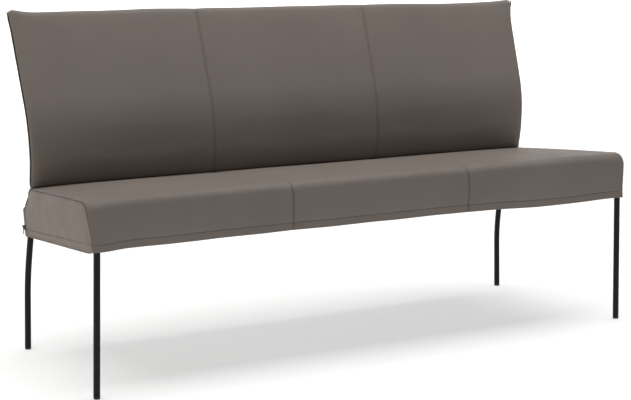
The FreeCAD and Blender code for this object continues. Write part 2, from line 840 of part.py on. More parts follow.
def pinch(share):
    """How far the padding has opened at a place, from nothing at the sewn edge to all of it."""
    distance = (BACK_END - abs(share)) * BACK_HALF
    if distance >= size("back_edge_run"):
        return 1.0
    return math.sqrt(max(0, 1 - (1 - distance / size("back_edge_run")) ** 2))


def face_depth(share, swell, sign):
    """The depth of the front or rear skin at one place."""
    if sign < 0:
        full = EDGE + size("back_crown") * swell
    else:
        full = TOP_RADIUS + size("back_rear_crown") * swell
    half = size("back_edge_half")
    return EDGE + sign * (half + (full - half) * pinch(share))


def edge_share(runs, further=0):
    """The share at a number of edge runs, and a length further, from the sewn edge."""
    return BACK_END - (runs * size("back_edge_run") + further) / BACK_HALF


SIDE_PLACES = {
    edge_share(0): 0.15, edge_share(0.13): 0.2, edge_share(0.4): 0.3, edge_share(1): 0.4,
    0.83: 0.8, 0.667: 1.0, 0.5: 0.8, BACK_SEAM: 0.1,
}
MIDDLE_PLACES = {-BACK_SEAM: 0.1, -BACK_SEAM / 2: 0.8, 0: 1.0, BACK_SEAM / 2: 0.8, BACK_SEAM: 0.1}
BACK_PANELS = {
    "left": {-share: swell for share, swell in SIDE_PLACES.items()},
    "centre": MIDDLE_PLACES,
    "right": {share: swell for share, swell in sorted(SIDE_PLACES.items())},
}
for word, places in BACK_PANELS.items():
    for name, sign in (("back_cover", -1), ("rear_cover", 1)):
        rings = [back_ring(share, face_depth(share, swell, sign), sign) for share, swell in places.items()]
        solid_node(f"{name}_{word}", Part.makeLoft(rings, True, True))

PAD_END = edge_share(1, size("leather"))
PAD_PLACES = {}
for places in BACK_PANELS.values():
    PAD_PLACES.update({share: swell for share, swell in places.items() if abs(share) < PAD_END - 0.01})
PAD_PLACES.update({-PAD_END: 0.4, PAD_END: 0.4})
PAD_PLACES = dict(sorted(PAD_PLACES.items()))
front_pad = [
    back_slab(share, face_depth(share, swell, -1) + SKIN, size("back_pad_depth"), TOP_RUN - TOP_RADIUS / 2,
              LEDGE + size("soft_gap"))
    for share, swell in PAD_PLACES.items()
]
solid_node("back_front_foam", Part.makeLoft(front_pad, True, True))
POST_FRONT = size("back_strap_front") + size("strap_thickness")
POST_REAR = POST_FRONT + size("post_depth")
rear_pad = [
    back_slab(share, POST_REAR + size("soft_gap"), face_depth(share, swell, 1) - SKIN, TOP_RUN - TOP_RADIUS,
              LEDGE + size("soft_gap"))
    for share, swell in PAD_PLACES.items()
]
solid_node("back_rear_foam", Part.makeLoft(rear_pad, True, True))


# Back frame: four bent posts bolted to the rear rail, a top rail and straps
POST_RUN = TOP_RUN - TOP_RADIUS - size("top_rail_width")
POST_NAMES = {"left": -1, "right": 1, "left_inner": -1, "right_inner": 1}
for name, sign in POST_NAMES.items():
    middle = sign * (size("inner_post_offset") if "inner" in name else OUTER)
    u = middle - size("post_width") / 2
    outline = back_slab(0, POST_FRONT, POST_REAR, POST_RUN, RAIL_TOP - size("rail_underside"))
    bent = doc.addObject("Part::Feature", f"{name}_post_bent")
    bent.Shape = Part.Face(outline).extrude(Vector(size("post_width"), 0, 0))
    bent.Placement = Placement(Vector(u, 0, 0), Rotation())
    corner = in_seat(u, REAR_RAIL - size("post_foot_depth"), size("rail_underside"))
    foot = seat_box(f"{name}_post_foot", corner, "Sizes.post_width", "Sizes.post_foot_depth",
                    "Sizes.rail_width")
    holes = [
        cylinder(f"{name}_post_hole_{i}", "Sizes.bolt_radius + Sizes.bolt_clearance",
                 "Sizes.post_foot_depth * 2",
                 in_seat(middle, REAR_RAIL - size("post_foot_depth") * 1.5, w, ALONG_V))
        for i, w in enumerate(sorted({w for _, w in bolt_spots()}))
    ]
    whole = fuse(f"{name}_post_whole", [bent, foot])
    node(cut(f"{name}_post", whole, group(f"{name}_post_holes", holes)), f"back_{name}_post")

top_rail = seat_box("top_rail", Placement(), f"2 * ({OUTER_POST} + Sizes.post_width)", "Sizes.post_depth",
                    "Sizes.top_rail_width")
UPRIGHT = Rotation(AROUND_X, -size("back_lean"))
top_start = on_bend(0, POST_FRONT, LEAN, POST_RUN)
top_start.x = -OUTER - size("post_width")
top_rail.Placement = Placement(top_start, UPRIGHT)
node(top_rail, "back_top_rail")


def back_strap(index):
    """One strap across the fronts of the posts, flat against them at its middle."""
    height = size("back_strap_first") + index * size("back_strap_pitch")
    foot = on_base(0, POST_FRONT, LEDGE)
    straight = BEND - foot.z
    radius = SWING - POST_FRONT
    angle = min(max((height - straight) / radius, 0), LEAN)
    run = height - straight - radius * angle
    middle = on_bend(0, size("back_strap_front"), angle, run)
    strap = seat_box(f"back_strap_{index}", Placement(), f"2 * {OUTER_POST} + Sizes.post_width",
                     "Sizes.strap_thickness", "Sizes.back_strap_width")
    turn = Rotation(AROUND_X, -math.degrees(angle))
    drop = turn.multVec(Vector(0, 0, -size("back_strap_width") / 2))
    across = Vector(-OUTER - size("post_width") / 2, 0, 0)
    strap.Placement = Placement(middle + drop + across, turn)
    return strap


node(group("back_straps", [back_strap(i) for i in range(int(size("back_strap_count")))]), "back_webbing")

BOLT_HEAD = REAR_RAIL - size("post_foot_depth")


def bolt(name, u, w):
    """A bolt from the front of a post's foot into its insert nut."""
    head = cylinder(name + "_head", "Sizes.bolt_head_radius", "Sizes.bolt_head_height",
                    in_seat(u, BOLT_HEAD - size("bolt_head_height"), w, ALONG_V))
    shank = cylinder(name + "_shank", "Sizes.bolt_radius", "Sizes.post_foot_depth + Sizes.bolt_grip",
                     in_seat(u, BOLT_HEAD, w, ALONG_V))
    return fuse(name, [head, shank])


def insert_nut(name, u, w):
    """A threaded sleeve pressed into the rear rail."""
    sleeve = cylinder(name + "_sleeve", "Sizes.insert_radius", "Sizes.insert_length",
                      in_seat(u, REAR_RAIL, w, ALONG_V))
    hole = cylinder(name + "_hole", "Sizes.bolt_radius + Sizes.bolt_clearance", "Sizes.insert_length",
                    in_seat(u, REAR_RAIL, w, ALONG_V))
    return cut(name, sleeve, hole)


node(group("bolts", [bolt(f"bolt_{i}", u, w) for i, (u, w) in enumerate(bolt_spots())]), "post_bolts")
inserts = [insert_nut(f"insert_{i}", u, w) for i, (u, w) in enumerate(bolt_spots())]
node(group("inserts", inserts), "insert_nuts")


# Zips: a ribbon up each side of the seat's rear corner and the back's edge, with a slider and a pull
def corner_cut(before, corner, after, radius):
    """The start, a middle point and the end of the arc that rounds a corner."""
    back = (before - corner).normalize()
    on = (after - corner).normalize()
    half = back.getAngle(on) / 2
    reach = radius / math.tan(half)
    inward = (back + on).normalize()
    return corner + back * reach, corner + inward * (radius / math.sin(half) - radius), corner + on * reach


def ribbon_side(points, radii, shift):
    """One edge of a ribbon: its middle line moved sideways, with rounded corners."""
    ways = [(there - here).normalize() for here, there in zip(points, points[1:])]
    normals = [Vector(0, -way.z, way.y) for way in ways]
    moved = [points[0] + normals[0] * shift]
    rounds = []
    for index, radius in enumerate(radii):
        first, second = normals[index], normals[index + 1]
        moved.append(points[index + 1] + (first + second) * (shift / (1 + first.dot(second))))
        inward = ways[index + 1].dot(first) > 0
        rounds.append(radius - shift if inward else radius + shift)
    moved.append(points[-1] + normals[-1] * shift)
    moves = []
    for index, radius in enumerate(rounds):
        start, via, end = corner_cut(*moved[index:index + 3], radius)
        moves += [(start,), (via, end)]
    return moved[0], [*moves, (moved[-1],)]


def on_side(side, start, moves):
    """Moves of the middle plane laid onto the flaring side of the bench."""
    def laid(point):
        return back_point(side, point.y, point.z)

    return laid(start), [tuple(laid(point) for point in move) for move in moves]


def seat_level(v, w):
    """A point of the middle plane given in the seat frame."""
    return SEAT.multVec(Vector(0, v, w))


ZIP_LINE = [
    seat_level(ZIP_V, size("zip_lower_end")),
    seat_level(ZIP_V, size("zip_turn")),
    seat_level(EDGE_V, size("zip_turn")),
    Vector(0, EDGE_Y, BEND + (SWING - EDGE) * math.tan(LEAN / 2)),
    on_bend(0, EDGE, LEAN, TOP_RUN - size("zip_upper_end")),
]
ZIP_RADII = [size("zip_turn_radius"), size("zip_crease_radius"), SWING - EDGE]
for word, sign in SIDES.items():
    start, out = on_side(sign, *ribbon_side(ZIP_LINE, ZIP_RADII, size("zip_width") / 2))
    other_start, other = on_side(sign, *ribbon_side(ZIP_LINE, ZIP_RADII, -size("zip_width") / 2))
    outline = joined(start, [*out, (other[-1][-1],), *turned_back(other_start, other), (start,)])
    solid_node(f"zip_{word}", Part.Face(outline).extrude(Vector(-sign * size("zip_depth"), 0, 0)))


def zip_frame(word):
    """The slider's own frame: X outward, Y across the zip and Z up along it."""
    sign = SIDES[word]
    spot = seat_level(ZIP_V, size("slider_start"))
    turn = Rotation(AROUND_Y, sign * size("back_flare")).multiply(Rotation(AROUND_X, -TILT))
    if sign < 0:
        turn = turn.multiply(Rotation(Vector(0, 0, 1), 180))
    return Placement(back_point(sign, spot.y, spot.z), turn)


PLATE_TOP = size("soft_gap") + size("slider_plate")
PIN_OUT = PLATE_TOP + size("slider_ear_reach") / 2 + size("pin_clearance")
PIN_UP = size("slider_length") - size("slider_ear_length") / 2
ALONG_Y = Rotation(AROUND_X, -90)
for word in SIDES:
    home = zip_frame(word)

    def placed(x, y, z, turn=None):
        """A placement in the slider's frame."""
        return home.multiply(Placement(Vector(x, y, z), turn or Rotation()))

    plate = seat_box(f"{word}_slider_plate", placed(size("soft_gap"), -size("slider_width") / 2, 0),
                     "Sizes.slider_plate", "Sizes.slider_width", "Sizes.slider_length")
    inner_half = size("pull_width") / 2 + size("pull_side_gap")
    ears = [
        seat_box(f"{word}_slider_ear_{i}",
                 placed(PLATE_TOP, y, size("slider_length") - size("slider_ear_length")),
                 "Sizes.slider_ear_reach", "Sizes.slider_ear", "Sizes.slider_ear_length")
        for i, y in enumerate((inner_half, -inner_half - size("slider_ear")))
    ]
    pin = cylinder(f"{word}_slider_pin", "Sizes.pin_radius", "Sizes.pull_width + 2 * Sizes.pull_side_gap",
                   placed(PIN_OUT, -inner_half, PIN_UP, ALONG_Y))
    node(fuse(f"{word}_slider", [plate, *ears, pin]), f"zip_slider_{word}")
    eye = cylinder(f"{word}_pull_eye", "Sizes.pull_eye_radius", "Sizes.pull_width",
                   placed(PIN_OUT, -size("pull_width") / 2, PIN_UP, ALONG_Y))
    tab_corner = placed(PIN_OUT - size("pull_thickness") / 2, -size("pull_width") / 2,
                        PIN_UP - size("pull_length"))
    tab = seat_box(f"{word}_pull_tab", tab_corner, "Sizes.pull_thickness", "Sizes.pull_width",
                   "Sizes.pull_length")
    bore = cylinder(f"{word}_pull_bore", "Sizes.pin_radius + Sizes.pin_clearance", "Sizes.pull_width",
                    placed(PIN_OUT, -size("pull_width") / 2, PIN_UP, ALONG_Y))
    node(cut(f"{word}_pull", fuse(f"{word}_pull_blank", [eye, tab]), bore), f"zip_pull_{word}")


# Checks and one file for each sub-part
doc.recompute()
for obj in doc.Objects:
    if "Invalid" in obj.State or "Error" in obj.State:
        raise RuntimeError(f"{obj.Label} did not build: {obj.State}")
os.makedirs("parts", exist_ok=True)
for obj in nodes:
    if obj.Shape.isNull() or not obj.Shape.isValid():
        raise RuntimeError(f"{obj.Label} has no sound shape")
    obj.Shape.exportStep(os.path.join("parts", obj.Label + ".step"))
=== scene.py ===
"""Looks of the upholstered dining bench.

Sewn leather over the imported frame, zips, stitching, light and camera.
"""

import json
import math

import bpy
import numpy as np
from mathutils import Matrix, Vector


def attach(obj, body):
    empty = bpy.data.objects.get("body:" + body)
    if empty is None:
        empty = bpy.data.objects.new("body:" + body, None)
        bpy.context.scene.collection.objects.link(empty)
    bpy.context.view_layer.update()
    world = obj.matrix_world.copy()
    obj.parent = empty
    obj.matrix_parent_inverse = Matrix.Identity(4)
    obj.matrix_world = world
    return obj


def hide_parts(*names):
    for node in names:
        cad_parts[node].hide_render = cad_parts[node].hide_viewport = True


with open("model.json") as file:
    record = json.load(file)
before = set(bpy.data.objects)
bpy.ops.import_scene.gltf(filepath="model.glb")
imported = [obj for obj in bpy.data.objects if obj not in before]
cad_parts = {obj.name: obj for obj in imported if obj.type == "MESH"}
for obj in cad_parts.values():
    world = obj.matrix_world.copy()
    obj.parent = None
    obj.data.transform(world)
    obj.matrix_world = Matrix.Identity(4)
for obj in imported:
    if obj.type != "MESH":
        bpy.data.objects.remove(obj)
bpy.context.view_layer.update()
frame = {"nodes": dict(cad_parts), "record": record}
scene = bpy.context.scene

# Sizes of the bench in metres
TILT = math.radians(4.2)
SEAT_FRONT = -0.312
SEAT_HEM = 0.390
SEAT_DEPTH = 0.576
SEAT_TOP = 0.135
SEAT_CROWN = 0.009
CROWN_END = 0.455
FRONT_RADIUS = 0.028
REAR_RADIUS = 0.055
FRONT_LEAN = 0.006
FRONT_BULGE = 0.0035
HALF_FRONT = 0.882
HALF_REAR = 0.849
HEM = 0.021
SEAT_SEAM = 0.293
BACK_FRONT = 0.168
BACK_HALF = 0.86065
BACK_FLARE = math.tan(math.radians(2.06))
FLARE_HEIGHT = 0.590
BEND = 0.597
SWING = 0.400
LEAN = math.radians(19)
BACK_HEIGHT = 0.969
BACK_DEEP = 0.050
EDGE = 0.014
EDGE_HALF = 0.005
EDGE_RUN = 0.030
BACK_CROWN = 0.004
REAR_CROWN = 0.004
BACK_SEAM = 0.333 * BACK_HALF
LEDGE = SEAT_TOP + 0.0003
TOP_RUN = (BACK_HEIGHT - BEND - (SWING - EDGE) * math.sin(LEAN)) / math.cos(LEAN)
ZIP_LINE = 0.566
ZIP_TURN = 0.126
STITCH_OFF = 0.0048
SIDES = (("left", -1), ("right", 1))


# Small helpers
def millimetres(*values):
    """Millimetres as metres."""
    return np.array(values) * 0.001


def seat_point(x, v, w):
    """Row frame points of seat places: x along the bench, v from front to rear, w square to the seat."""
    x, v, w = np.broadcast_arrays(x, v, w)
    y = SEAT_FRONT + v * math.cos(TILT) + w * math.sin(TILT)
    z = SEAT_HEM - v * math.sin(TILT) + w * math.cos(TILT)
    return np.stack([x, y, z], axis=-1)


def seat_place(y, z):
    """The v and w of row frame places."""
    v = (y - SEAT_FRONT) * math.cos(TILT) - (z - SEAT_HEM) * math.sin(TILT)
    w = (y - SEAT_FRONT) * math.sin(TILT) + (z - SEAT_HEM) * math.cos(TILT)
    return v, w


def half_width(v):
    """Half the seat's width at a depth."""
    return HALF_FRONT - (HALF_FRONT - HALF_REAR) * np.asarray(v) / SEAT_DEPTH


def edge_x(z):
    """How far out the back's flared edge and the zip's face lie at a height."""
    return BACK_HALF + BACK_FLARE * (z - FLARE_HEIGHT)


def smooth(t):
    """A soft step from 0 to 1."""
    t = np.clip(t, 0, 1)
    return t * t * (3 - 2 * t)


def ramp(value, start, run):
    """A soft step from 0 at a start to 1 after a run."""
    return smooth((value - start) / run)


def bell(distance, width):
    """A soft bump of height 1."""
    return np.exp(-(np.asarray(distance) / width) ** 2)


def band(distance, middle, width):
    """A soft bump of height 1 with its middle at a distance."""
    return bell(distance - middle, width)


def waves(a, b, lengths, seed):
    """A calm uneven field from a few crossing waves of the given lengths."""
    turn = np.random.default_rng(seed)
    total = np.zeros(np.broadcast(a, b).shape)
    for length in lengths:
        angle = turn.uniform(0, math.pi)
        phase = turn.uniform(0, 2 * math.pi)
        total = total + np.sin(2 * math.pi * (a * math.cos(angle) + b * math.sin(angle)) / length + phase)
    return total / len(lengths)


SEEDS = {
    "seat_pucker": 3,
    "seat_padding": 5,
    "hem_wave": 8,
    "sag": 11,
    "panel_pucker": 17,
    "panel_hem": 23,
    "panel_shade_wave": 29,
    "back_pucker": 31,
    "back_padding": 37,
    "hem_shade_wave": 41,
}
BESIDE_MARK = millimetres(0, 0.7, 1.4, 2.1, 2.8, 3.6, 4.2, 4.8, 5.4, 6.3, 7.8, 10, 13, 17, 23)
PLACE_STEP = 0.0085
SLIGHT = 1e-9
SLIGHT_AREA = 1e-12


def marks_and_steps(half, seam):
    """Places across a skin of a half width, one step apart and much closer beside its seams and ends."""
    places = set(np.round(np.linspace(-half, half, int(2 * half / PLACE_STEP) + 1), 5))
    for mark in (-half, -seam, seam, half):
        places = {p for p in places if abs(p - mark) > BESIDE_MARK[-1]}
        for distance in BESIDE_MARK:
            for place in (mark - distance, mark + distance):
                if abs(place) <= half + SLIGHT:
                    places.add(round(float(place), 5))
    return np.array(sorted(places))


def surface_normals(points):
    """Unit normals of a grid of points, from its neighbours."""
    across = np.gradient(points, axis=1)
    along = np.gradient(points, axis=0)
    normal = np.cross(across, along)
    length = np.linalg.norm(normal, axis=-1, keepdims=True)
    return normal / np.maximum(length, SLIGHT_AREA)


def mesh_object(name, points, faces):
    """A smooth mesh object from points and faces."""
    mesh = bpy.data.meshes.new(name)
    mesh.from_pydata([tuple(p) for p in points], [], [tuple(int(i) for i in f) for f in faces])
    mesh.validate()
    mesh.update()
    for polygon in mesh.polygons:
        polygon.use_smooth = True
    obj = bpy.data.objects.new(name, mesh)
    scene.collection.objects.link(obj)
    return obj


def grid_faces(rows, columns, wrap_rows=False, start=0):
    """Quads of a grid of points, closed over the rows where asked."""
    faces = []
    last = rows if wrap_rows else rows - 1
    for r in range(last):
        for c in range(columns - 1):
            a = start + r * columns + c
            b = start + ((r + 1) % rows) * columns + c
            faces.append((a, a + 1, b + 1, b))
    return faces


def sampled(field, columns):
    """A coarse grid of vectors read between its columns."""
    first = np.clip(np.floor(columns).astype(int), 0, field.shape[1] - 2)
    share = (columns - first)[None, :, None]
    return field[:, first] * (1 - share) + field[:, first + 1] * share


def run_lengths(line):
    """The length along a line of points, at each point."""
    return np.concatenate([[0], np.cumsum(np.linalg.norm(np.diff(line, axis=0), axis=1))])


CLOTH_FRAMES = 20
CLOTH_SETTINGS = {
    "quality": 6,
    "mass": 0.9,
    "tension_stiffness": 40,
    "compression_stiffness": 40,
    "shear_stiffness": 20,
    "bending_stiffness": 4,
    "vertex_group_mass": "held",
    "pin_stiffness": 1,
    "use_pressure": True,
    "uniform_pressure_force": 2.0,
}


def billowed(name, points, held, most):
    """How far each point of a leather grid moves when the padding presses it out between its held seams."""
    rows, columns = points.shape[:2]
    obj = mesh_object(name, points.reshape(-1, 3), grid_faces(rows, columns))
    group = obj.vertex_groups.new(name="held")
    for index, weight in enumerate(held.reshape(-1)):
        if weight > 0:
            group.add([index], float(weight), "REPLACE")
    cloth = obj.modifiers.new("leather", "CLOTH")
    for setting, value in CLOTH_SETTINGS.items():
        setattr(cloth.settings, setting, value)
    cloth.settings.effector_weights.gravity = 0
    cloth.collision_settings.use_collision = False
    cloth.point_cache.frame_start = 1
    cloth.point_cache.frame_end = CLOTH_FRAMES
    for step in range(1, CLOTH_FRAMES + 1):
        scene.frame_set(step)
    ready = obj.evaluated_get(bpy.context.evaluated_depsgraph_get())
    moved = np.zeros(len(ready.data.vertices) * 3)
    ready.data.vertices.foreach_get("co", moved)
    shift = moved.reshape(points.shape) - points
    scene.frame_set(1)
    bpy.data.objects.remove(obj)
    length = np.linalg.norm(shift, axis=-1, keepdims=True)
    return shift * most / (most + length)


# Materials
def new_material(name, colour, roughness, **sockets):
    """A principled material with constant values on its own sockets."""
    material = bpy.data.materials.new(name)
    material.use_nodes = True
    shader = material.node_tree.nodes["Principled BSDF"]
    shader.inputs["Base Color"].default_value = (*colour, 1)
    shader.inputs["Roughness"].default_value = roughness
    for socket, value in sockets.items():
        shader.inputs[socket.replace("_", " ")].default_value = value
    return material, material.node_tree, shader


def add(tree, kind, **values):
    """A node with some of its properties and inputs set."""
    node = tree.nodes.new(kind)
    for key, value in values.items():
        if hasattr(node, key):
            setattr(node, key, value)
        else:
            node.inputs[key.replace("_", " ")].default_value = value
    return node


def object_coordinates(tree):
    """Coordinates in metres of the row frame."""
    return tree.nodes.new("ShaderNodeTexCoord").outputs["Object"]


def noise(tree, place, scale, detail=4.0):
    """A noise texture's value."""
    node = add(tree, "ShaderNodeTexNoise", Scale=scale, Detail=detail)
    tree.links.new(place, node.inputs["Vector"])
    return node.outputs["Fac"]


def mixed(tree, factor, first, second):
    """One of two colours by a factor."""
    node = tree.nodes.new("ShaderNodeMix")
    node.data_type = "RGBA"
    for socket, value in zip((node.inputs[6], node.inputs[7]), (first, second)):
        if isinstance(value, tuple):
            socket.default_value = (*value, 1)
        else:
            tree.links.new(value, socket)
    tree.links.new(factor, node.inputs[0])
    return node.outputs[2]


def ranged(tree, value, low, high, to_low, to_high):
    """A value carried from one range to another."""
    node = tree.nodes.new("ShaderNodeMapRange")
    for socket, number in zip(("From Min", "From Max", "To Min", "To Max"), (low, high, to_low, to_high)):
        node.inputs[socket].default_value = number
    tree.links.new(value, node.inputs["Value"])
    return node.outputs["Result"]


def bumped(tree, shader, height, strength, distance):
    """A bump on the shader's normal."""
    node = add(tree, "ShaderNodeBump", Strength=strength, Distance=distance)
    tree.links.new(height, node.inputs["Height"])
    tree.links.new(node.outputs["Normal"], shader.inputs["Normal"])


LEATHER_LIGHT = (0.188, 0.158, 0.138)
LEATHER_DARK = (0.17, 0.142, 0.123)
LEATHER_DEEP = (0.13, 0.107, 0.092)
# Painted shade: near-black brown laid along seams, stitch rows and hem lines in place of the shade in their
# grooves.
PAINTED_SEAM_SHADE = (0.042, 0.034, 0.029)
PATCH_SCALE = 3.2
SPECK_SCALE = 260
SHEEN_SCALE = 22
CELL_SCALE = 620.0
GRAIN_SCALE = 95


def leather_material():
    """Smooth taupe leather: fine grain, slow colour changes and painted shade along its seams and hem lines.
    """
    material, tree, shader = new_material("taupe_leather", (0.18, 0.15, 0.13), 0.62, Specular_IOR_Level=0.3)
    place = object_coordinates(tree)
    patches = ranged(tree, noise(tree, place, PATCH_SCALE, 3), 0.3, 0.7, 0, 1)
    tone = mixed(tree, patches, LEATHER_DARK, LEATHER_LIGHT)
    specks = ranged(tree, noise(tree, place, SPECK_SCALE, 3), 0.42, 0.72, 0, 0.2)
    speckled = mixed(tree, specks, tone, LEATHER_DEEP)
    # Painted shade: a per-point attribute mixes the dark seam colour in along seams and hem lines.
    seam_shade = add(tree, "ShaderNodeAttribute", attribute_name="seam_shade").outputs["Fac"]
    tree.links.new(mixed(tree, seam_shade, speckled, PAINTED_SEAM_SHADE), shader.inputs["Base Color"])
    rough = ranged(tree, noise(tree, place, SHEEN_SCALE, 3), 0.3, 0.7, 0.56, 0.68)
    tree.links.new(rough, shader.inputs["Roughness"])
    cells = add(tree, "ShaderNodeTexVoronoi", feature="DISTANCE_TO_EDGE", Scale=CELL_SCALE)
    tree.links.new(place, cells.inputs["Vector"])
    grain = ranged(tree, cells.outputs["Distance"], 0, 0.28, 0, 1)
    total = tree.nodes.new("ShaderNodeMath")
    total.operation = "ADD"
    tree.links.new(grain, total.inputs[0])
    tree.links.new(ranged(tree, noise(tree, place, GRAIN_SCALE, 4), 0, 1, 0, 0.5), total.inputs[1])
    bumped(tree, shader, total.outputs[0], 0.15, 0.0004)
    return material


def grained_material(name, colour, other, scale, roughness, strength, distance, **sockets):
    """A material with a fine mottled colour and a bump of the same grain."""
    material, tree, shader = new_material(name, colour, roughness, **sockets)
    place = object_coordinates(tree)
    value = noise(tree, place, scale, 5)
    tone = mixed(tree, ranged(tree, value, 0.35, 0.65, 0, 1), colour, other)
    tree.links.new(tone, shader.inputs["Base Color"])
    patches = noise(tree, place, scale / 6, 3)
    uneven = ranged(tree, patches, 0.3, 0.7, roughness - 0.05, roughness + 0.07)
    tree.links.new(uneven, shader.inputs["Roughness"])
    bumped(tree, shader, value, strength, distance)
    return material


def woven_material(name, colour, other, pitch, roughness):
    """Cloth or tape: two crossing sets of threads."""
    material, tree, shader = new_material(name, colour, roughness, Specular_IOR_Level=0.15)
    place = object_coordinates(tree)
    sets = []
    for direction in ("X", "DIAGONAL"):
        wave = add(tree, "ShaderNodeTexWave", bands_direction=direction, Scale=0.314 / pitch, Distortion=0.4)
        tree.links.new(place, wave.inputs["Vector"])
        sets.append(wave.outputs["Fac"])
    cross = tree.nodes.new("ShaderNodeMath")
    cross.operation = "MULTIPLY"
    tree.links.new(sets[0], cross.inputs[0])
    tree.links.new(sets[1], cross.inputs[1])
    tree.links.new(mixed(tree, cross.outputs[0], colour, other), shader.inputs["Base Color"])
    bumped(tree, shader, cross.outputs[0], 0.4, pitch / 5)
    return material


def wood_material():
    """Planed beech with long grain."""
    material, tree, shader = new_material("beech", (0.5, 0.33, 0.18), 0.5)
    place = object_coordinates(tree)
    stretch = add(tree, "ShaderNodeMapping")
    stretch.inputs["Scale"].default_value = (4, 60, 60)
    tree.links.new(place, stretch.inputs["Vector"])
    value = noise(tree, stretch.outputs["Vector"], 1.5, 6)
    tone = mixed(tree, ranged(tree, value, 0.35, 0.65, 0, 1), (0.52, 0.35, 0.19), (0.38, 0.24, 0.12))
    tree.links.new(tone, shader.inputs["Base Color"])
    bumped(tree, shader, value, 0.2, 0.0004)
    return material


leather = leather_material()
thread = woven_material("thread", (0.11, 0.091, 0.079), (0.15, 0.126, 0.11), pitch=0.0006, roughness=0.6)
black_steel = grained_material(
    "black_powder_coat", (0.008, 0.008, 0.008), (0.013, 0.013, 0.013),
    scale=900, roughness=0.45, strength=0.12, distance=0.0003, Specular_IOR_Level=0.16,
)
black_plastic = grained_material(
    "black_nylon", (0.014, 0.014, 0.014), (0.02, 0.02, 0.02),
    scale=400, roughness=0.5, strength=0.1, distance=0.0002,
)
zinc = grained_material(
    "zinc_plate", (0.55, 0.55, 0.53), (0.48, 0.48, 0.47),
    scale=300, roughness=0.32, strength=0.08, distance=0.0002, Metallic=1.0,
)
zip_metal = grained_material(
    "black_lacquer", (0.02, 0.02, 0.02), (0.03, 0.029, 0.028),
    scale=700, roughness=0.3, strength=0.08, distance=0.0001, Metallic=0.6,
)
zip_tape = woven_material("zip_tape", (0.008, 0.008, 0.008), (0.02, 0.02, 0.02), pitch=0.0005, roughness=0.7)
cloth_black = woven_material(
    "underside_cloth", (0.012, 0.012, 0.012), (0.03, 0.03, 0.03), pitch=0.0012, roughness=0.85,
)
webbing = woven_material("webbing", (0.02, 0.02, 0.022), (0.05, 0.05, 0.055), pitch=0.002, roughness=0.8)
beech = wood_material()
NODE_MATERIALS = {
    "black_steel": black_steel,
    "glide_plastic": black_plastic,
    "zinc_steel": zinc,
    "timber": beech,
    "webbing": webbing,
    "underside_cloth": cloth_black,
    "zip_metal": zip_metal,
}
for part in frame["record"]["subparts"]:
    material = NODE_MATERIALS.get(part["material_slot"])
    if material:
        data = frame["nodes"][part["node"]].data
        data.materials.clear()
        data.materials.append(material)


def finished(obj, material, slot, *nodes, fill=None):
    """Gives a new piece its material and body and hides the solids that it stands for; its slot is not used.
    """
    obj.data.materials.append(material)
    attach(obj, "bench")
    if nodes:
        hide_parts(*nodes)
    return obj


def store_seam_shade(obj, values):
    """Stores on each point how much painted shade darkens the leather's colour along seams and hems."""
    attribute = obj.data.attributes.new("seam_shade", "FLOAT", "POINT")
    attribute.data.foreach_set("value", np.clip(values, 0, 1).astype(np.float32).reshape(-1))


# Seat cover: one skin from the front hem over the top to the rear hem
RISE = millimetres(0, 2, 5, 9, 13, 16.5, 18.5, 19.8, 21, 22.2, 23.5, 26, 30, 35, 41, 48, 55, 62, 69, 76,
                   84, 92, 100, 107)
FALL = millimetres(80, 73, 66, 59, 52, 45, 38, 32, 28, 24.5, 22.2, 21, 19.8, 18, 14, 9, 5, 2, 0)
TURN = np.linspace(0, math.pi / 2, 15)[1:]
CROWN_STEPS = np.linspace(0, 1, 49)[1:]
LEDGE_STEPS = np.linspace(0, 1, 9)[1:]
SHOULDER = SEAT_TOP - FRONT_RADIUS
END_ROUND = 0.010
END_PULL = 0.010
END_FLARE = 0.0105
CORNER_DRAW = 0.006
END_DROPS = (0.005, 0.002)
END_ROLL = 0.030
HEM_TOP = 0.0245
SEAM_EASE = 0.2
SEAM_EASE_WIDTH = 0.05
SWELL_REACH = 0.2
LEAST_SWELL = 0.1
DROP_REACH = 0.25
FLARE_LOSS = 0.88
FLARE_FROM = 0.05
FLARE_RUN = 0.45
FLARE_POWER = 8
DRAW_ALONG = (0.47, 0.09)
DRAW_UP = (0.070, 0.035)
END_INSET = 0.0035
INSET_REACH = 0.007
ROUND_REACH = 0.12


def seat_swell(x):
    """How far the padding rises at a place: full inside each panel, less at seams, little at the ends."""
    swell = 1 - SEAM_EASE * band(abs(x), SEAT_SEAM, SEAM_EASE_WIDTH)
    end = min((HALF_FRONT - abs(x)) / SWELL_REACH, 1)
    return swell * (LEAST_SWELL + (1 - LEAST_SWELL) * (1 - (1 - end) ** 2))


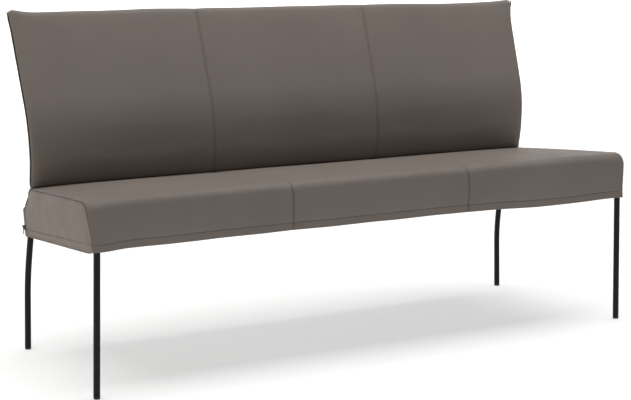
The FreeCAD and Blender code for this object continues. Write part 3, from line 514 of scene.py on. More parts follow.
def seat_rows(swell, inset, near, drop):
    """The seat's outline at one place, as v and w from front hem to rear hem, rounder near the ends."""
    radius = FRONT_RADIUS + END_ROUND * near
    full = SEAT_TOP - drop
    shoulder = full - radius
    rise = RISE * shoulder / SHOULDER
    lean = FRONT_LEAN - END_PULL * near
    middle = (HEM + shoulder) / 2
    reach = (shoulder - HEM) / 2
    bulge = FRONT_BULGE * swell * np.maximum(0, 1 - ((rise - middle) / reach) ** 2)
    front = [-lean * rise / shoulder - bulge + inset, rise]
    edge = -lean + inset
    radius = radius - inset
    top = full - inset
    start = edge + radius
    turn = [edge + radius * (1 - np.cos(TURN)), shoulder + radius * np.sin(TURN)]
    crown_rise = SEAT_CROWN * swell * 4 * CROWN_STEPS * (1 - CROWN_STEPS)
    crown = [start + (CROWN_END - start) * CROWN_STEPS, top + crown_rise]
    rear = SEAT_DEPTH - inset
    rear_radius = REAR_RADIUS + END_ROLL * near - inset
    ledge = [CROWN_END + (rear - rear_radius - CROWN_END) * LEDGE_STEPS, np.full(len(LEDGE_STEPS), top)]
    roll = [rear - rear_radius * (1 - np.sin(TURN)), top - rear_radius * (1 - np.cos(TURN))]
    above_hem = np.maximum(FALL - HEM_TOP, 0)
    fall = np.minimum(FALL, HEM_TOP) + above_hem * (top - rear_radius - HEM_TOP) / (FALL[0] - HEM_TOP)
    down = [np.full(len(FALL) - 1, rear), fall[1:]]
    return np.concatenate([front, turn, crown, ledge, roll, down], axis=1)


def end_drop(x, half):
    """How far the seat's top sinks near its ends, at a place across a half width."""
    near = np.clip(1 - HALF_FRONT * (1 - np.abs(x) / half) / DROP_REACH, 0, 1)
    return np.where(np.asarray(x) < 0, *END_DROPS) * near ** 2


def end_flare(v, w):
    """How far the padding pushes the seat's end outward above the hem; its rear top corner is drawn in."""
    v, w = np.broadcast_arrays(v, w)
    rear = 1 - FLARE_LOSS * np.clip((v - FLARE_FROM) / FLARE_RUN, 0, 1)
    drawn = ramp(v, *DRAW_ALONG) * ramp(w, *DRAW_UP)
    return END_FLARE * smooth((w - HEM / 2) / SHOULDER) * rear - CORNER_DRAW * drawn


def seat_skin(places):
    """The seat's skin over places along the front edge."""
    columns = []
    for place in places:
        end = HALF_FRONT - abs(place)
        inset = END_INSET * max(0, 1 - end / INSET_REACH) ** 2
        near = max(0, 1 - end / ROUND_REACH) ** 2
        drop = float(end_drop(place, HALF_FRONT))
        v, w = seat_rows(float(seat_swell(place)), inset, near, drop)
        share = place / HALF_FRONT
        wide = half_width(v) + share ** FLARE_POWER * end_flare(v, w)
        columns.append(seat_point(share * wide, v, w))
    return np.stack(columns, axis=1)


# Sewn forms of the seat: grooves as depth and width, bands as middle and width, ramps as start and run
SEAT_COLUMNS = 119
SEAT_BILLOW = 0.005
SEAM_HOLD = 0.9
SEAM_GROOVE = (0.0013, 0.0010)
STITCH_GROOVE = (0.0003, 0.0010)
END_GROOVE = (0.0013, 0.0016)
HEM_GROOVE = (0.0011, 0.0014)
VALLEY_DEPTH = 0.0009
EDGE_VALLEY_DEPTH = 0.0022
VALLEY_WIDTH = 0.017
EDGE_WIDTH = 0.03
END_PUCKER = 0.0006
SEAM_PUCKER = 0.00035
PUCKER_LENGTHS = (0.011, 0.017, 0.026, 0.041)
PADDING_WAVE = 0.0007
PADDING_LENGTHS = (0.31, 0.43, 0.6, 0.24)
HEM_WAVE = 0.0009
HEM_LENGTHS = (0.052, 0.083, 0.131)
SAG_WAVE = 0.0012
SAG_LENGTHS = (0.21, 0.33, 0.55)
REAR_SAG = 0.0125
REAR_SAG_RAMP = (0.7, 0.16)
SAG_REACH = 0.03
INSIDE_REACH = 0.05
QUIET_SHARE = 0.93
QUIET_RAMP = (0.006, 0.04)
END_PUCKER_BAND = (0.006, 0.008)
SEAM_PUCKER_BAND = (0.008, 0.006)
HEM_BAND = (0.006, 0.012)
PUCKER_STRETCH = 0.1
HEM_STRETCH = 0.2
# Painted shade along the seat's seams, stitch rows, ends and hem: widths and strengths of the darker colour.
SEAM_SHADE_WIDTH = 0.001
STITCH_SHADE_WIDTH = 0.0008
STITCH_SHADE = 0.08
END_SHADE_WIDTH = 0.0016
HEM_SHADE_WIDTH = 0.0012
HEM_SHADE = 0.3
HEM_SHADE_LENGTHS = (0.17, 0.29)
RIGHT_DROOP = 0.006
RIGHT_DROOP_RAMP = (0.25, 0.35)
RIGHT_BELLY = 0.0024
RIGHT_BELLY_BAND = (0.64, 0.12)
LEFT_DROOP = 0.0042
LEFT_DROOP_RAMP = (0.785, 0.075)
HEM_LIFT = 0.0018
LIP = len(RISE) + len(TURN) // 2
REAR_START = len(RISE) + len(TURN) + len(CROWN_STEPS)


def groove(distance, depth, width):
    """A soft groove at a distance from its middle."""
    return -depth * bell(distance, width)


def ridge(distance, height, width):
    """A soft ridge at a distance from its middle."""
    return height * bell(distance, width)


def hem_droop(x):
    """How far the front hem hangs below its line, most at the corners."""
    right = RIGHT_DROOP * ramp(x, *RIGHT_DROOP_RAMP) + RIGHT_BELLY * band(x, *RIGHT_BELLY_BAND)
    left = LEFT_DROOP * ramp(-x, *LEFT_DROOP_RAMP)
    return right + left - HEM_LIFT


def seat_hold(places):
    """How firmly the seat's skin is held at its hem, front edge, rear, ends and seams."""
    held = np.zeros((REAR_START + len(LEDGE_STEPS) + len(TURN) + len(FALL) - 1, len(places)))
    held[:9] = 1
    held[len(RISE) - 2:len(RISE) + len(TURN) + 1] = 1
    held[REAR_START:] = 1
    for seam in (-SEAT_SEAM, SEAT_SEAM):
        held[:, np.argmin(np.abs(places - seam))] = SEAM_HOLD
    held[:, [0, 1, -2, -1]] = 1
    return held


def sewn_seat():
    """The seat's leather, pressed out by its padding, sunk at its seams and hung at its hem."""
    coarse = np.linspace(-HALF_FRONT, HALF_FRONT, SEAT_COLUMNS)
    calm = seat_skin(coarse)
    billow = billowed("seat_billow", calm, seat_hold(coarse), SEAT_BILLOW)
    places = marks_and_steps(HALF_FRONT, SEAT_SEAM)
    skin = seat_skin(places) + sampled(billow, np.interp(places, coarse, np.arange(len(coarse))))
    rows, columns = skin.shape[:2]
    run = run_lengths(skin[:, columns // 2])
    along, across = np.meshgrid(run, places, indexing="ij")
    off_seam = np.abs(np.abs(across) - SEAT_SEAM)
    off_stitch = off_seam - STITCH_OFF
    end = HALF_FRONT - np.abs(across)
    inside = smooth(end / INSIDE_REACH)
    from_hem = np.minimum(along, run[-1] - along)
    past_edge = along - run[LIP]
    quiet = 1 - QUIET_SHARE * ramp(past_edge, *QUIET_RAMP)
    valley = VALLEY_DEPTH + EDGE_VALLEY_DEPTH * bell(past_edge, EDGE_WIDTH)
    pucker = waves(along, across * PUCKER_STRETCH, PUCKER_LENGTHS, SEEDS["seat_pucker"])
    relief = (groove(off_seam, *SEAM_GROOVE) + groove(off_stitch, *STITCH_GROOVE)) * quiet
    relief += groove(off_seam, valley, VALLEY_WIDTH) + groove(end, *END_GROOVE)
    relief += END_PUCKER * pucker * band(end, *END_PUCKER_BAND)
    relief += SEAM_PUCKER * pucker * band(off_seam, *SEAM_PUCKER_BAND)
    relief += PADDING_WAVE * waves(across, along, PADDING_LENGTHS, SEEDS["seat_padding"]) * inside
    relief += groove(from_hem - HEM, *HEM_GROOVE)
    hem_wave = waves(across, along * HEM_STRETCH, HEM_LENGTHS, SEEDS["hem_wave"])
    relief += HEM_WAVE * hem_wave * band(from_hem, *HEM_BAND)
    skin = skin + surface_normals(skin) * relief[..., None]
    rear_sag = REAR_SAG * ramp(np.abs(across), *REAR_SAG_RAMP)
    sag = np.where(along < run[-1] / 2, hem_droop(across), rear_sag)
    sag = sag - SAG_WAVE * waves(across, 0 * across, SAG_LENGTHS, SEEDS["sag"]) * inside
    skin[..., 2] -= sag * (1 - ramp(from_hem, HEM, SAG_REACH))
    # Painted shade: darker leather colour along the seams and stitch rows (fading past the front edge), the
    # ends' seams and the hem line, for the shade in their grooves.
    seam_shade = (bell(off_seam, SEAM_SHADE_WIDTH) + STITCH_SHADE * bell(off_stitch, STITCH_SHADE_WIDTH)) * quiet
    seam_shade = seam_shade + bell(end, END_SHADE_WIDTH)
    uneven = 0.7 + 0.6 * waves(across, 0 * across, HEM_SHADE_LENGTHS, SEEDS["hem_shade_wave"])
    seam_shade += HEM_SHADE * band(from_hem, HEM, HEM_SHADE_WIDTH) * uneven
    seat = mesh_object("seat_leather", skin.reshape(-1, 3), grid_faces(rows, columns))
    store_seam_shade(seat, seam_shade)
    finished(seat, leather, "leather", "seat_cover_left", "seat_cover_centre", "seat_cover_right",
             "seat_foam", "seat_rear_foam", "hem_front", "hem_rear", fill=0.85)
    return places, skin


seat_places, skin = sewn_seat()


# Seat side panels: rings that follow the skin's end from the seam to the middle
DEPTHS = millimetres(0, 0.7, 1.4, 2.2, 3, 3.8, 4.8, 5.1, 6.5, 7.9, 8.2, 9.2, 10.4, 12, 14, 18, 19.8,
                     21, 22.2, 24, 28, 34, 42, 50, 57)
TO_MIDDLE = 1.0
SPINE_FRONT = 0.062
SPINE_REAR = 0.075
SPINE_HEIGHT = 0.061
FOOT_POINTS = 70
EDGE_PARTS = 4
CORNER_LIFT = 0.0048
PANEL_SWELL = 0.0028
PANEL_SEAM = 0.0022
PANEL_PUCKER = 0.0007
PANEL_PUCKER_LENGTHS = (0.012, 0.019, 0.03, 0.05)
PANEL_HEM_GROOVE = (0.0014, 0.003)
PANEL_HEM_TUCK = 0.003
PANEL_HEM_WAVE = 0.0011
PANEL_HEM_LENGTHS = (0.07, 0.12, 0.2)
ZIP_OPEN = 0.068
ZIP_SHUT = 0.079
LIP_GAP = 0.0015
TOOTH_ROOM = 0.0015
LIP_SINK = 0.0002
LIP_HALF = 0.0026
LIP_SLOPE_REAR = 0.0038
LIP_SLOPE_FRONT = 0.007
CORNER_REACH = 0.022
PANEL_SWELL_REACH = 0.05
PANEL_SEAM_REACH = 0.006
PANEL_PUCKER_BAND = (0.006, 0.009)
PANEL_PUCKER_STRETCH = 0.3
PANEL_HEM_BAND = (0.004, 0.012)
# Painted shade along the panel's hem line: width, strength and the lengths of its uneven waves.
PANEL_HEM_SHADE_WIDTH = 0.0014
PANEL_HEM_SHADE = 0.35
PANEL_SHADE_LENGTHS = (0.13, 0.21)
SIDE_HEM_START = 0.004
SIDE_HEM_STOP = SEAT_DEPTH - 0.016
SIDE_HEM_POINTS = 160
SIDE_HEM_OUT = 0.0002


def zip_bed(v, w, flat):
    """How far the leather beside the zip is raised to carry it, with a groove for its teeth."""
    off = np.abs(v - ZIP_LINE)
    face = edge_x(seat_point(0, v, w)[..., 2]) - flat
    lips = 1 - ramp(off, LIP_HALF, np.where(v > ZIP_LINE, LIP_SLOPE_REAR, LIP_SLOPE_FRONT))
    channel = np.where(off < LIP_GAP, TOOTH_ROOM, 0)
    shut = ramp(w, ZIP_OPEN, ZIP_SHUT - ZIP_OPEN)
    return (np.maximum(face - LIP_SINK, 0) * lips - channel * (1 - shut)) * (1 - shut)


def finer(line, first, parts):
    """A line of points with each run after one of them cut into parts."""
    cut = [line[:first]]
    for start, stop in zip(line[first:-1], line[first + 1:]):
        cut.append(np.linspace(start, stop, parts, endpoint=False))
    cut.append(line[-1:])
    return np.concatenate(cut)


def side_panel(word, sign):
    """One end of the seat; gives its foot and the line of stitches along its hem."""
    edge = finer(skin[:, 0 if sign < 0 else -1], REAR_START, EDGE_PARTS)
    foot = np.linspace(edge[-1], edge[0], FOOT_POINTS + 2)[1:-1]
    if sign < 0:
        share = np.linspace(0, 1, FOOT_POINTS + 2)[1:-1]
        foot[:, 2] -= CORNER_LIFT * share * (1 - bell((1 - share) * SEAT_DEPTH, CORNER_REACH))
    loop = np.concatenate([edge, foot])
    v, w = seat_place(loop[:, 1], loop[:, 2])
    low_loop = np.arange(len(loop)) >= len(edge)
    front_low = -w[0]
    rear_low = -w[len(edge) - 1]
    spine_v = np.clip(v, SPINE_FRONT, SEAT_DEPTH - SPINE_REAR)
    reach = np.hypot(spine_v - v, SPINE_HEIGHT - w)
    rings = []
    panel_shades = []
    for depth in [*DEPTHS, TO_MIDDLE]:
        share = np.minimum(depth / reach, 1)
        ring_v = v + (spine_v - v) * share
        ring_w = w + (SPINE_HEIGHT - w) * share
        inner = np.minimum(depth, reach)
        from_seam = np.where(low_loop, TO_MIDDLE, inner)
        over_hem = ring_w + front_low + (rear_low - front_low) * ring_v / SEAT_DEPTH
        pucker = waves(ring_v, ring_w * PANEL_PUCKER_STRETCH, PANEL_PUCKER_LENGTHS, SEEDS["panel_pucker"])
        hem_wave = waves(ring_v, 0 * ring_v, PANEL_HEM_LENGTHS, SEEDS["panel_hem"])
        out = PANEL_SWELL * smooth(inner / PANEL_SWELL_REACH)
        out = out - PANEL_SEAM * (1 - smooth(from_seam / PANEL_SEAM_REACH))
        out += PANEL_PUCKER * pucker * band(from_seam, *PANEL_PUCKER_BAND)
        out += groove(over_hem - HEM, *PANEL_HEM_GROOVE) - PANEL_HEM_TUCK * (1 - smooth(over_hem / HEM))
        out += PANEL_HEM_WAVE * hem_wave * band(over_hem, *PANEL_HEM_BAND)
        if depth == 0:
            rings.append(loop.copy())
        else:
            wide = half_width(ring_v) + end_flare(ring_v, over_hem) + out
            rings.append(seat_point(sign * (wide + zip_bed(ring_v, ring_w, wide)), ring_v, ring_w))
        # Painted shade: darker leather colour along the panel's seam with the skin and along its hem line.
        uneven = 0.6 + 0.5 * waves(ring_v, 0 * ring_v, PANEL_SHADE_LENGTHS, SEEDS["panel_shade_wave"])
        hem_line_shade = PANEL_HEM_SHADE * band(over_hem, HEM, PANEL_HEM_SHADE_WIDTH) * uneven
        panel_shades.append(np.where(low_loop, 0, bell(inner, END_SHADE_WIDTH)) + hem_line_shade)
    points = np.stack(rings, axis=1)
    faces = grid_faces(points.shape[0], points.shape[1], wrap_rows=True)
    panel = mesh_object(f"seat_side_leather_{word}", points.reshape(-1, 3), faces)
    store_seam_shade(panel, np.stack(panel_shades, axis=1))
    finished(panel, leather, "leather", f"seat_side_{word}", f"hem_{word}", fill=0.7)
    hem_v = np.linspace(SIDE_HEM_START, SIDE_HEM_STOP, SIDE_HEM_POINTS)
    hem_w = HEM - front_low - (rear_low - front_low) * hem_v / SEAT_DEPTH
    hem_x = half_width(hem_v) + end_flare(hem_v, HEM) + SIDE_HEM_OUT
    return foot, seat_point(sign * hem_x, hem_v, hem_w)


feet, side_hems = {}, {}
for word, sign in SIDES:
    feet[word], side_hems[word] = side_panel(word, sign)


# The hem's turned edge under the seat
HEM_FOLD = ((0, 0), (0.0008, -0.0006), (0.0022, -0.0006), (0.003, 0.0008), (0.0034, 0.004), (0.0034, 0.0085))


def hem_turn():
    """The folded edge of the cover, from the hem's foot in to the underside cloth."""
    loop = np.concatenate([skin[0], feet["right"][::-1], skin[-1][::-1], feet["left"]])
    before = np.roll(loop, 1, axis=0)
    after = np.roll(loop, -1, axis=0)
    way = after - before
    inward = np.stack([-way[:, 1], way[:, 0], np.zeros(len(way))], axis=1)
    inward /= np.maximum(np.linalg.norm(inward, axis=1, keepdims=True), SLIGHT)
    up = np.array([0, math.sin(TILT), math.cos(TILT)])
    rings = [loop + inward * far + up * high for far, high in HEM_FOLD]
    points = np.stack(rings, axis=1)
    faces = grid_faces(len(loop), len(HEM_FOLD), wrap_rows=True)
    obj = mesh_object("hem_turn", points.reshape(-1, 3), faces)
    store_seam_shade(obj, np.zeros(points.shape[:2]))
    return finished(obj, leather, "leather")


hem_turn()


# Back cover: front skin, rolled top and rear skin in one closed loop
def on_bend(n, angle, length):
    """The y and z of a depth n at an angle of the bend and a length beyond it."""
    y = BACK_FRONT + SWING - (SWING - n) * np.cos(angle) + length * np.sin(angle)
    z = BEND + (SWING - n) * np.sin(angle) + length * np.cos(angle)
    return y, z


def base_height(n):
    """The height where a depth of the back meets the seat."""
    v = (BACK_FRONT + n - SEAT_FRONT - LEDGE * math.sin(TILT)) / math.cos(TILT)
    return SEAT_HEM - v * math.sin(TILT) + LEDGE * math.cos(TILT)


BASE_ROUND = 0.015
BASE_RISE = 0.06
BASE_SINK = 0.001
TOP_TURN = np.linspace(0, math.pi / 2, 13)[1:]


def steps(count):
    """Even shares after 0 up to 1."""
    return np.linspace(0, 1, count + 1)[1:]


def upright(n, top, counts, drop):
    """A skin's line at one depth, from its rounded base to a length beyond the bend, as y and z."""
    into = 1 if n < EDGE else -1
    roll = min(BASE_ROUND, abs(EDGE - n) * 0.9)
    tall = BASE_RISE if n < EDGE else roll
    turn = np.linspace(0, math.pi / 2, counts[0] + 1)
    low = base_height(n) - drop
    base = [BACK_FRONT + n + into * roll * (1 - np.sin(turn)), low + tall * (1 - np.cos(turn))]
    straight = [np.full(counts[1], BACK_FRONT + n), low + tall + (BEND - low - tall) * steps(counts[1])]
    bend = on_bend(n, LEAN * steps(counts[2]), 0)
    upper = on_bend(n, np.full(counts[3], LEAN), top * steps(counts[3]))
    return np.concatenate([base, straight, bend, upper], axis=1)


FRONT_COUNTS = (14, 12, 30, 24)
REAR_COUNTS = (5, 10, 18, 16)


def back_rows(front, rear, drop):
    """The back's closed outline at one place, as y and z, with its base lowered to meet the seat."""
    radius = EDGE - front
    rear_radius = rear - EDGE
    face = upright(front, TOP_RUN - radius, FRONT_COUNTS, drop)
    over = on_bend(EDGE - radius * np.cos(TOP_TURN), LEAN, TOP_RUN - radius + radius * np.sin(TOP_TURN))
    under = on_bend(EDGE + rear_radius * np.sin(TOP_TURN), LEAN,
                    TOP_RUN - rear_radius + rear_radius * np.cos(TOP_TURN))
    behind = upright(rear, TOP_RUN - rear_radius, REAR_COUNTS, drop)[:, ::-1][:, 1:]
    return np.concatenate([face, over, under, behind], axis=1)


BACK_END = BACK_HALF - 0.0019
SWELL_POWER = 2.2
BASE_TUCK = 0.006
BASE_TUCK_RAMP = (0.485, 0.09)
LEFT_EDGE_IN = 0.0022
LEFT_EDGE_TOP = 0.955
LEFT_EDGE_EASE = 0.04
LEFT_EDGE_RAMP = (0.5, 0.06)
LEFT_EDGE_WIDTH = 0.12
RIGHT_EDGE_OUT = 0.0085
RIGHT_EDGE_BELOW = 0.008
RIGHT_EDGE_TALL = 0.038
RIGHT_EDGE_WIDTH = 0.04


def back_swell(place):
    """How far the padding of a back panel stands out: full in the middle, little at seams and edges."""
    if place < BACK_SEAM:
        local = place / BACK_SEAM
    else:
        local = 2 * (place - BACK_SEAM) / (BACK_END - BACK_SEAM) - 1
    return LEAST_SWELL + (1 - LEAST_SWELL) * (1 - abs(local) ** SWELL_POWER)


def back_depths(place):
    """The depths of the front and rear skins at a distance from the middle."""
    swell = back_swell(place)
    distance = BACK_END - place
    ease = math.sqrt(max(0, 1 - max(0, 1 - distance / EDGE_RUN) ** 2))
    front = EDGE_HALF + (EDGE + BACK_CROWN * swell - EDGE_HALF) * ease
    rear = EDGE_HALF + (BACK_DEEP - EDGE + REAR_CROWN * swell - EDGE_HALF) * ease
    return EDGE - front, EDGE + rear


def base_tuck(z):
    """How far the cover is drawn rearward just above the seat."""
    return BASE_TUCK * (1 - ramp(z, *BASE_TUCK_RAMP))


def edge_shift(place, z):
    """How far the cover's side edges stray from their flare: in on the left, out at the right top corner."""
    left_tall = smooth((LEFT_EDGE_TOP - z) / LEFT_EDGE_EASE) * ramp(z, *LEFT_EDGE_RAMP)
    left = LEFT_EDGE_IN * left_tall * bell(place + BACK_END, LEFT_EDGE_WIDTH)
    right_tall = bell(z - BACK_HEIGHT + RIGHT_EDGE_BELOW, RIGHT_EDGE_TALL)
    right = RIGHT_EDGE_OUT * right_tall * bell(place - BACK_END, RIGHT_EDGE_WIDTH)
    return left + right


def back_skin(places):
    """The back's skin over places measured at the height where it is as wide as BACK_HALF says."""
    columns = []
    for place in places:
        drop = BASE_SINK + float(end_drop(place, BACK_HALF))
        y, z = back_rows(*back_depths(min(abs(place), BACK_END)), drop)
        x = place / BACK_HALF * edge_x(z)
        columns.append(np.stack([x + edge_shift(place, z), y + base_tuck(z), z], axis=-1))
    return np.stack(columns, axis=1)


# Sewn forms of the back
BACK_COLUMNS = 117
BACK_BILLOW = 0.0009
FRONT_ROWS = sum(FRONT_COUNTS) + 1
BACK_SEAM_GROOVE = (0.0011, 0.0009)
BACK_VALLEY = (0.0008, 0.02)
TOP_GROOVE = (0.0011, 0.0018)
BACK_END_PUCKER = 0.0005
BACK_SEAM_PUCKER = 0.0003
BACK_PUCKER_LENGTHS = (0.012, 0.019, 0.031, 0.047)
BACK_WAVE = 0.0008
BACK_LENGTHS = (0.28, 0.4, 0.57, 0.22)
TOP_REACH = 0.05
EDGE_LIP = 0.0004
EDGE_SINK = 0.0012
BACK_END_BAND = (0.012, 0.014)
BACK_SEAM_BAND = (0.009, 0.007)
BACK_INSIDE = 0.06
# Painted shade along the back's seams, stitch rows and top seam: strength and width of the darker colour.
BACK_SEAM_SHADE = (0.75, 0.0007)
BACK_STITCH_SHADE = (0.06, 0.0008)
BACK_TOP_SHADE = (0.6, 0.0012)
TOP_LEFT = 0.0022
TOP_LEFT_REACH = 0.4
TOP_HUMP = 0.0018
TOP_HUMP_BAND = (-0.42, 0.09)
TOP_DIP = 0.0042
TOP_DIP_BAND = (0.62, 0.17)
TOP_LOWER = 0.0015
LEFT_EAR = (0.009, 0.042)
RIGHT_EAR = (0.0035, 0.035)
EAR_DIP = (0.008, 0.0055)


def back_hold(places, rows):
    """How firmly the back's skin is held at its base, top, ends and seams."""
    held = np.zeros((rows, len(places)))
    held[:8] = 1
    held[FRONT_ROWS + 4:FRONT_ROWS + 20] = SEAM_HOLD
    held[-8:] = 1
    for seam in (-BACK_SEAM, BACK_SEAM):
        held[:, np.argmin(np.abs(places - seam))] = SEAM_HOLD
    held[:, [0, 1, 2, -3, -2, -1]] = 1
    return held


def top_rise(across):
    """How far the top edge rises: a calm wave along the bench."""
    left = TOP_LEFT * smooth(-across / TOP_LEFT_REACH) + TOP_HUMP * band(across, *TOP_HUMP_BAND)
    return left - TOP_DIP * band(across, *TOP_DIP_BAND) - TOP_LOWER


def corner_ears(across, end):
    """How far the top corners stand up, more on the left, with a small dip at the very end."""
    ear = np.where(across < 0, ridge(end, *LEFT_EAR), ridge(end, *RIGHT_EAR))
    return ear + groove(end, *EAR_DIP)


def closing_line(sign, rise):
    """The line that closes one side of the back between its front and rear skins."""
    y, z = back_rows(EDGE - EDGE_LIP, EDGE + EDGE_LIP, BASE_SINK + END_DROPS[0])
    x = sign * (BACK_END / BACK_HALF * edge_x(z) - EDGE_SINK) + edge_shift(sign * BACK_END, z)
    return np.stack([x, y + base_tuck(z), z + rise], axis=-1)[:, None]


def sewn_back():
    """The back's leather, pressed out by its padding and sunk at its seams."""
    coarse = np.linspace(-BACK_END, BACK_END, BACK_COLUMNS)
    calm = back_skin(coarse)
    billow = billowed("back_billow", calm, back_hold(coarse, len(calm)), BACK_BILLOW)
    places = marks_and_steps(BACK_END, BACK_SEAM)
    cover = back_skin(places) + sampled(billow, np.interp(places, coarse, np.arange(len(coarse))))
    rows, columns = cover.shape[:2]
    run = run_lengths(cover[:, columns // 2])
    along, across = np.meshgrid(run, places, indexing="ij")
    off_seam = np.abs(np.abs(across) - BACK_SEAM)
    off_stitch = off_seam - STITCH_OFF
    end = BACK_END - np.abs(across)
    off_top = np.abs(along - run[FRONT_ROWS + len(TOP_TURN) - 1])
    pucker = waves(along, across * PUCKER_STRETCH, BACK_PUCKER_LENGTHS, SEEDS["back_pucker"])
    relief = groove(off_seam, *BACK_SEAM_GROOVE) + groove(off_stitch, *STITCH_GROOVE)
    relief += groove(off_seam, *BACK_VALLEY) + groove(off_top, *TOP_GROOVE)
    relief += BACK_END_PUCKER * pucker * band(end, *BACK_END_BAND)
    relief += BACK_SEAM_PUCKER * pucker * band(off_seam, *BACK_SEAM_BAND)
    padding = waves(across, along, BACK_LENGTHS, SEEDS["back_padding"])
    relief += BACK_WAVE * padding * smooth(end / BACK_INSIDE)
    cover = cover + surface_normals(cover) * relief[..., None]
    ears = corner_ears(across, end)
    near_top = bell(off_top, TOP_REACH)
    cover[..., 2] += (top_rise(across) + ears) * near_top
    # Painted shade: darker leather colour along the seams, stitch rows and the top seam, for the shade in
    # their grooves.
    seam_shade = ridge(off_seam, *BACK_SEAM_SHADE) + ridge(off_stitch, *BACK_STITCH_SHADE)
    seam_shade = seam_shade + ridge(off_top, *BACK_TOP_SHADE)
    left = closing_line(-1, (ears * near_top)[:, 0])
    right = closing_line(1, (ears * near_top)[:, -1])
    cover = np.concatenate([left, cover, right], axis=1)
    seam_shade = np.concatenate([seam_shade[:, :1], seam_shade, seam_shade[:, -1:]], axis=1)
    back = mesh_object("back_leather", cover.reshape(-1, 3), grid_faces(rows, columns + 2, wrap_rows=True))
    store_seam_shade(back, seam_shade)
    finished(back, leather, "leather", "back_cover_left", "back_cover_centre", "back_cover_right",
             "rear_cover_left", "rear_cover_centre", "rear_cover_right", "back_front_foam", "back_rear_foam",
             fill=0.8)
    return places, cover


back_places, cover = sewn_back()


# Zips: tape and coil teeth up the seat's rear corner and the edge of the back
def rounded_line(points, radii, step):
    """Points about one step apart along straight runs with rounded corners, in y and z."""
    points = [np.array(p, float) for p in points]
    line = [points[0]]
    for index, radius in enumerate(radii):
        before, corner, after = points[index:index + 3]
        back_way = (before - corner) / np.linalg.norm(before - corner)
        on_way = (after - corner) / np.linalg.norm(after - corner)
        half = math.acos(np.clip(np.dot(back_way, on_way), -1, 1)) / 2
        reach = radius / math.tan(half)
        middle = corner + (back_way + on_way) / np.linalg.norm(back_way + on_way) * radius / math.sin(half)
        first = corner + back_way * reach - middle
        last = corner + on_way * reach - middle
        sweep = math.pi - 2 * half
        turn = math.copysign(1, first[0] * last[1] - first[1] * last[0])
        for angle in np.linspace(0, sweep, max(8, int(radius * sweep / step))):
            c, s = math.cos(angle * turn), math.sin(angle * turn)
            line.append(middle + np.array([first[0] * c - first[1] * s, first[0] * s + first[1] * c]))
    line.append(points[-1])
    line = np.array(line)
    length = run_lengths(line)
    even = np.arange(0, length[-1], step)
    return np.stack([np.interp(even, length, line[:, i]) for i in range(2)], axis=1), even


MILLIMETRE = 0.001
ZIP_START = 0.003
ZIP_STEP = 0.0004
TOOTH_PITCH = 0.0016
TOOTH_DIP = 0.22
TOOTH_FROM = 0.1
TOOTH_TO = 1.5
COVER_LEAD = 0.004
COVER_RUN = 0.014
UNCOVER_RUN = 0.012
LEAD_RUN = 0.008
TUCK_RAMP = (0.44, 0.03)
BEVEL_WIDTH = 0.0003
SEAT_TURN = 0.062
CREASE_TURN = 0.012
UNDER_LEATHER = 0.0035
FOLD = 0.005
FOLD_LENGTH = FOLD * math.pi / 2 + 0.006
FOLD_START = {-1: -0.001, 1: 0.006}
FOLD_OUT = {-1: 0.0015, 1: 0.0055}
FOLD_LEAD = {-1: 0.008, 1: 0.020}
HALF_PROFILE = ((0.15, -0.1), (0.75, 0), (1.3, -0.25), (1.55, -0.8), (2.7, -0.9), (2.7, -1.6))
PROFILE = [(-across, out) for across, out in HALF_PROFILE[::-1]] + [(0, -0.35)] + list(HALF_PROFILE)


def zip_route(sign):
    """The zip's corners in y and z, from the hem to the top of the back."""
    edge_y = BACK_FRONT + EDGE
    edge_v = (edge_y - SEAT_FRONT - ZIP_TURN * math.sin(TILT)) / math.cos(TILT)
    low = seat_point(0, ZIP_LINE, ZIP_START)[1:]
    turn = seat_point(0, ZIP_LINE, ZIP_TURN)[1:]
    crease = seat_point(0, edge_v, ZIP_TURN)[1:]
    knee = (edge_y, BEND + (SWING - EDGE) * math.tan(LEAN / 2))
    top = on_bend(EDGE, LEAN, TOP_RUN + FOLD_LENGTH - FOLD_START[sign])
    return [low, turn, crease, knee, top], (SEAT_TURN, CREASE_TURN, SWING - EDGE)


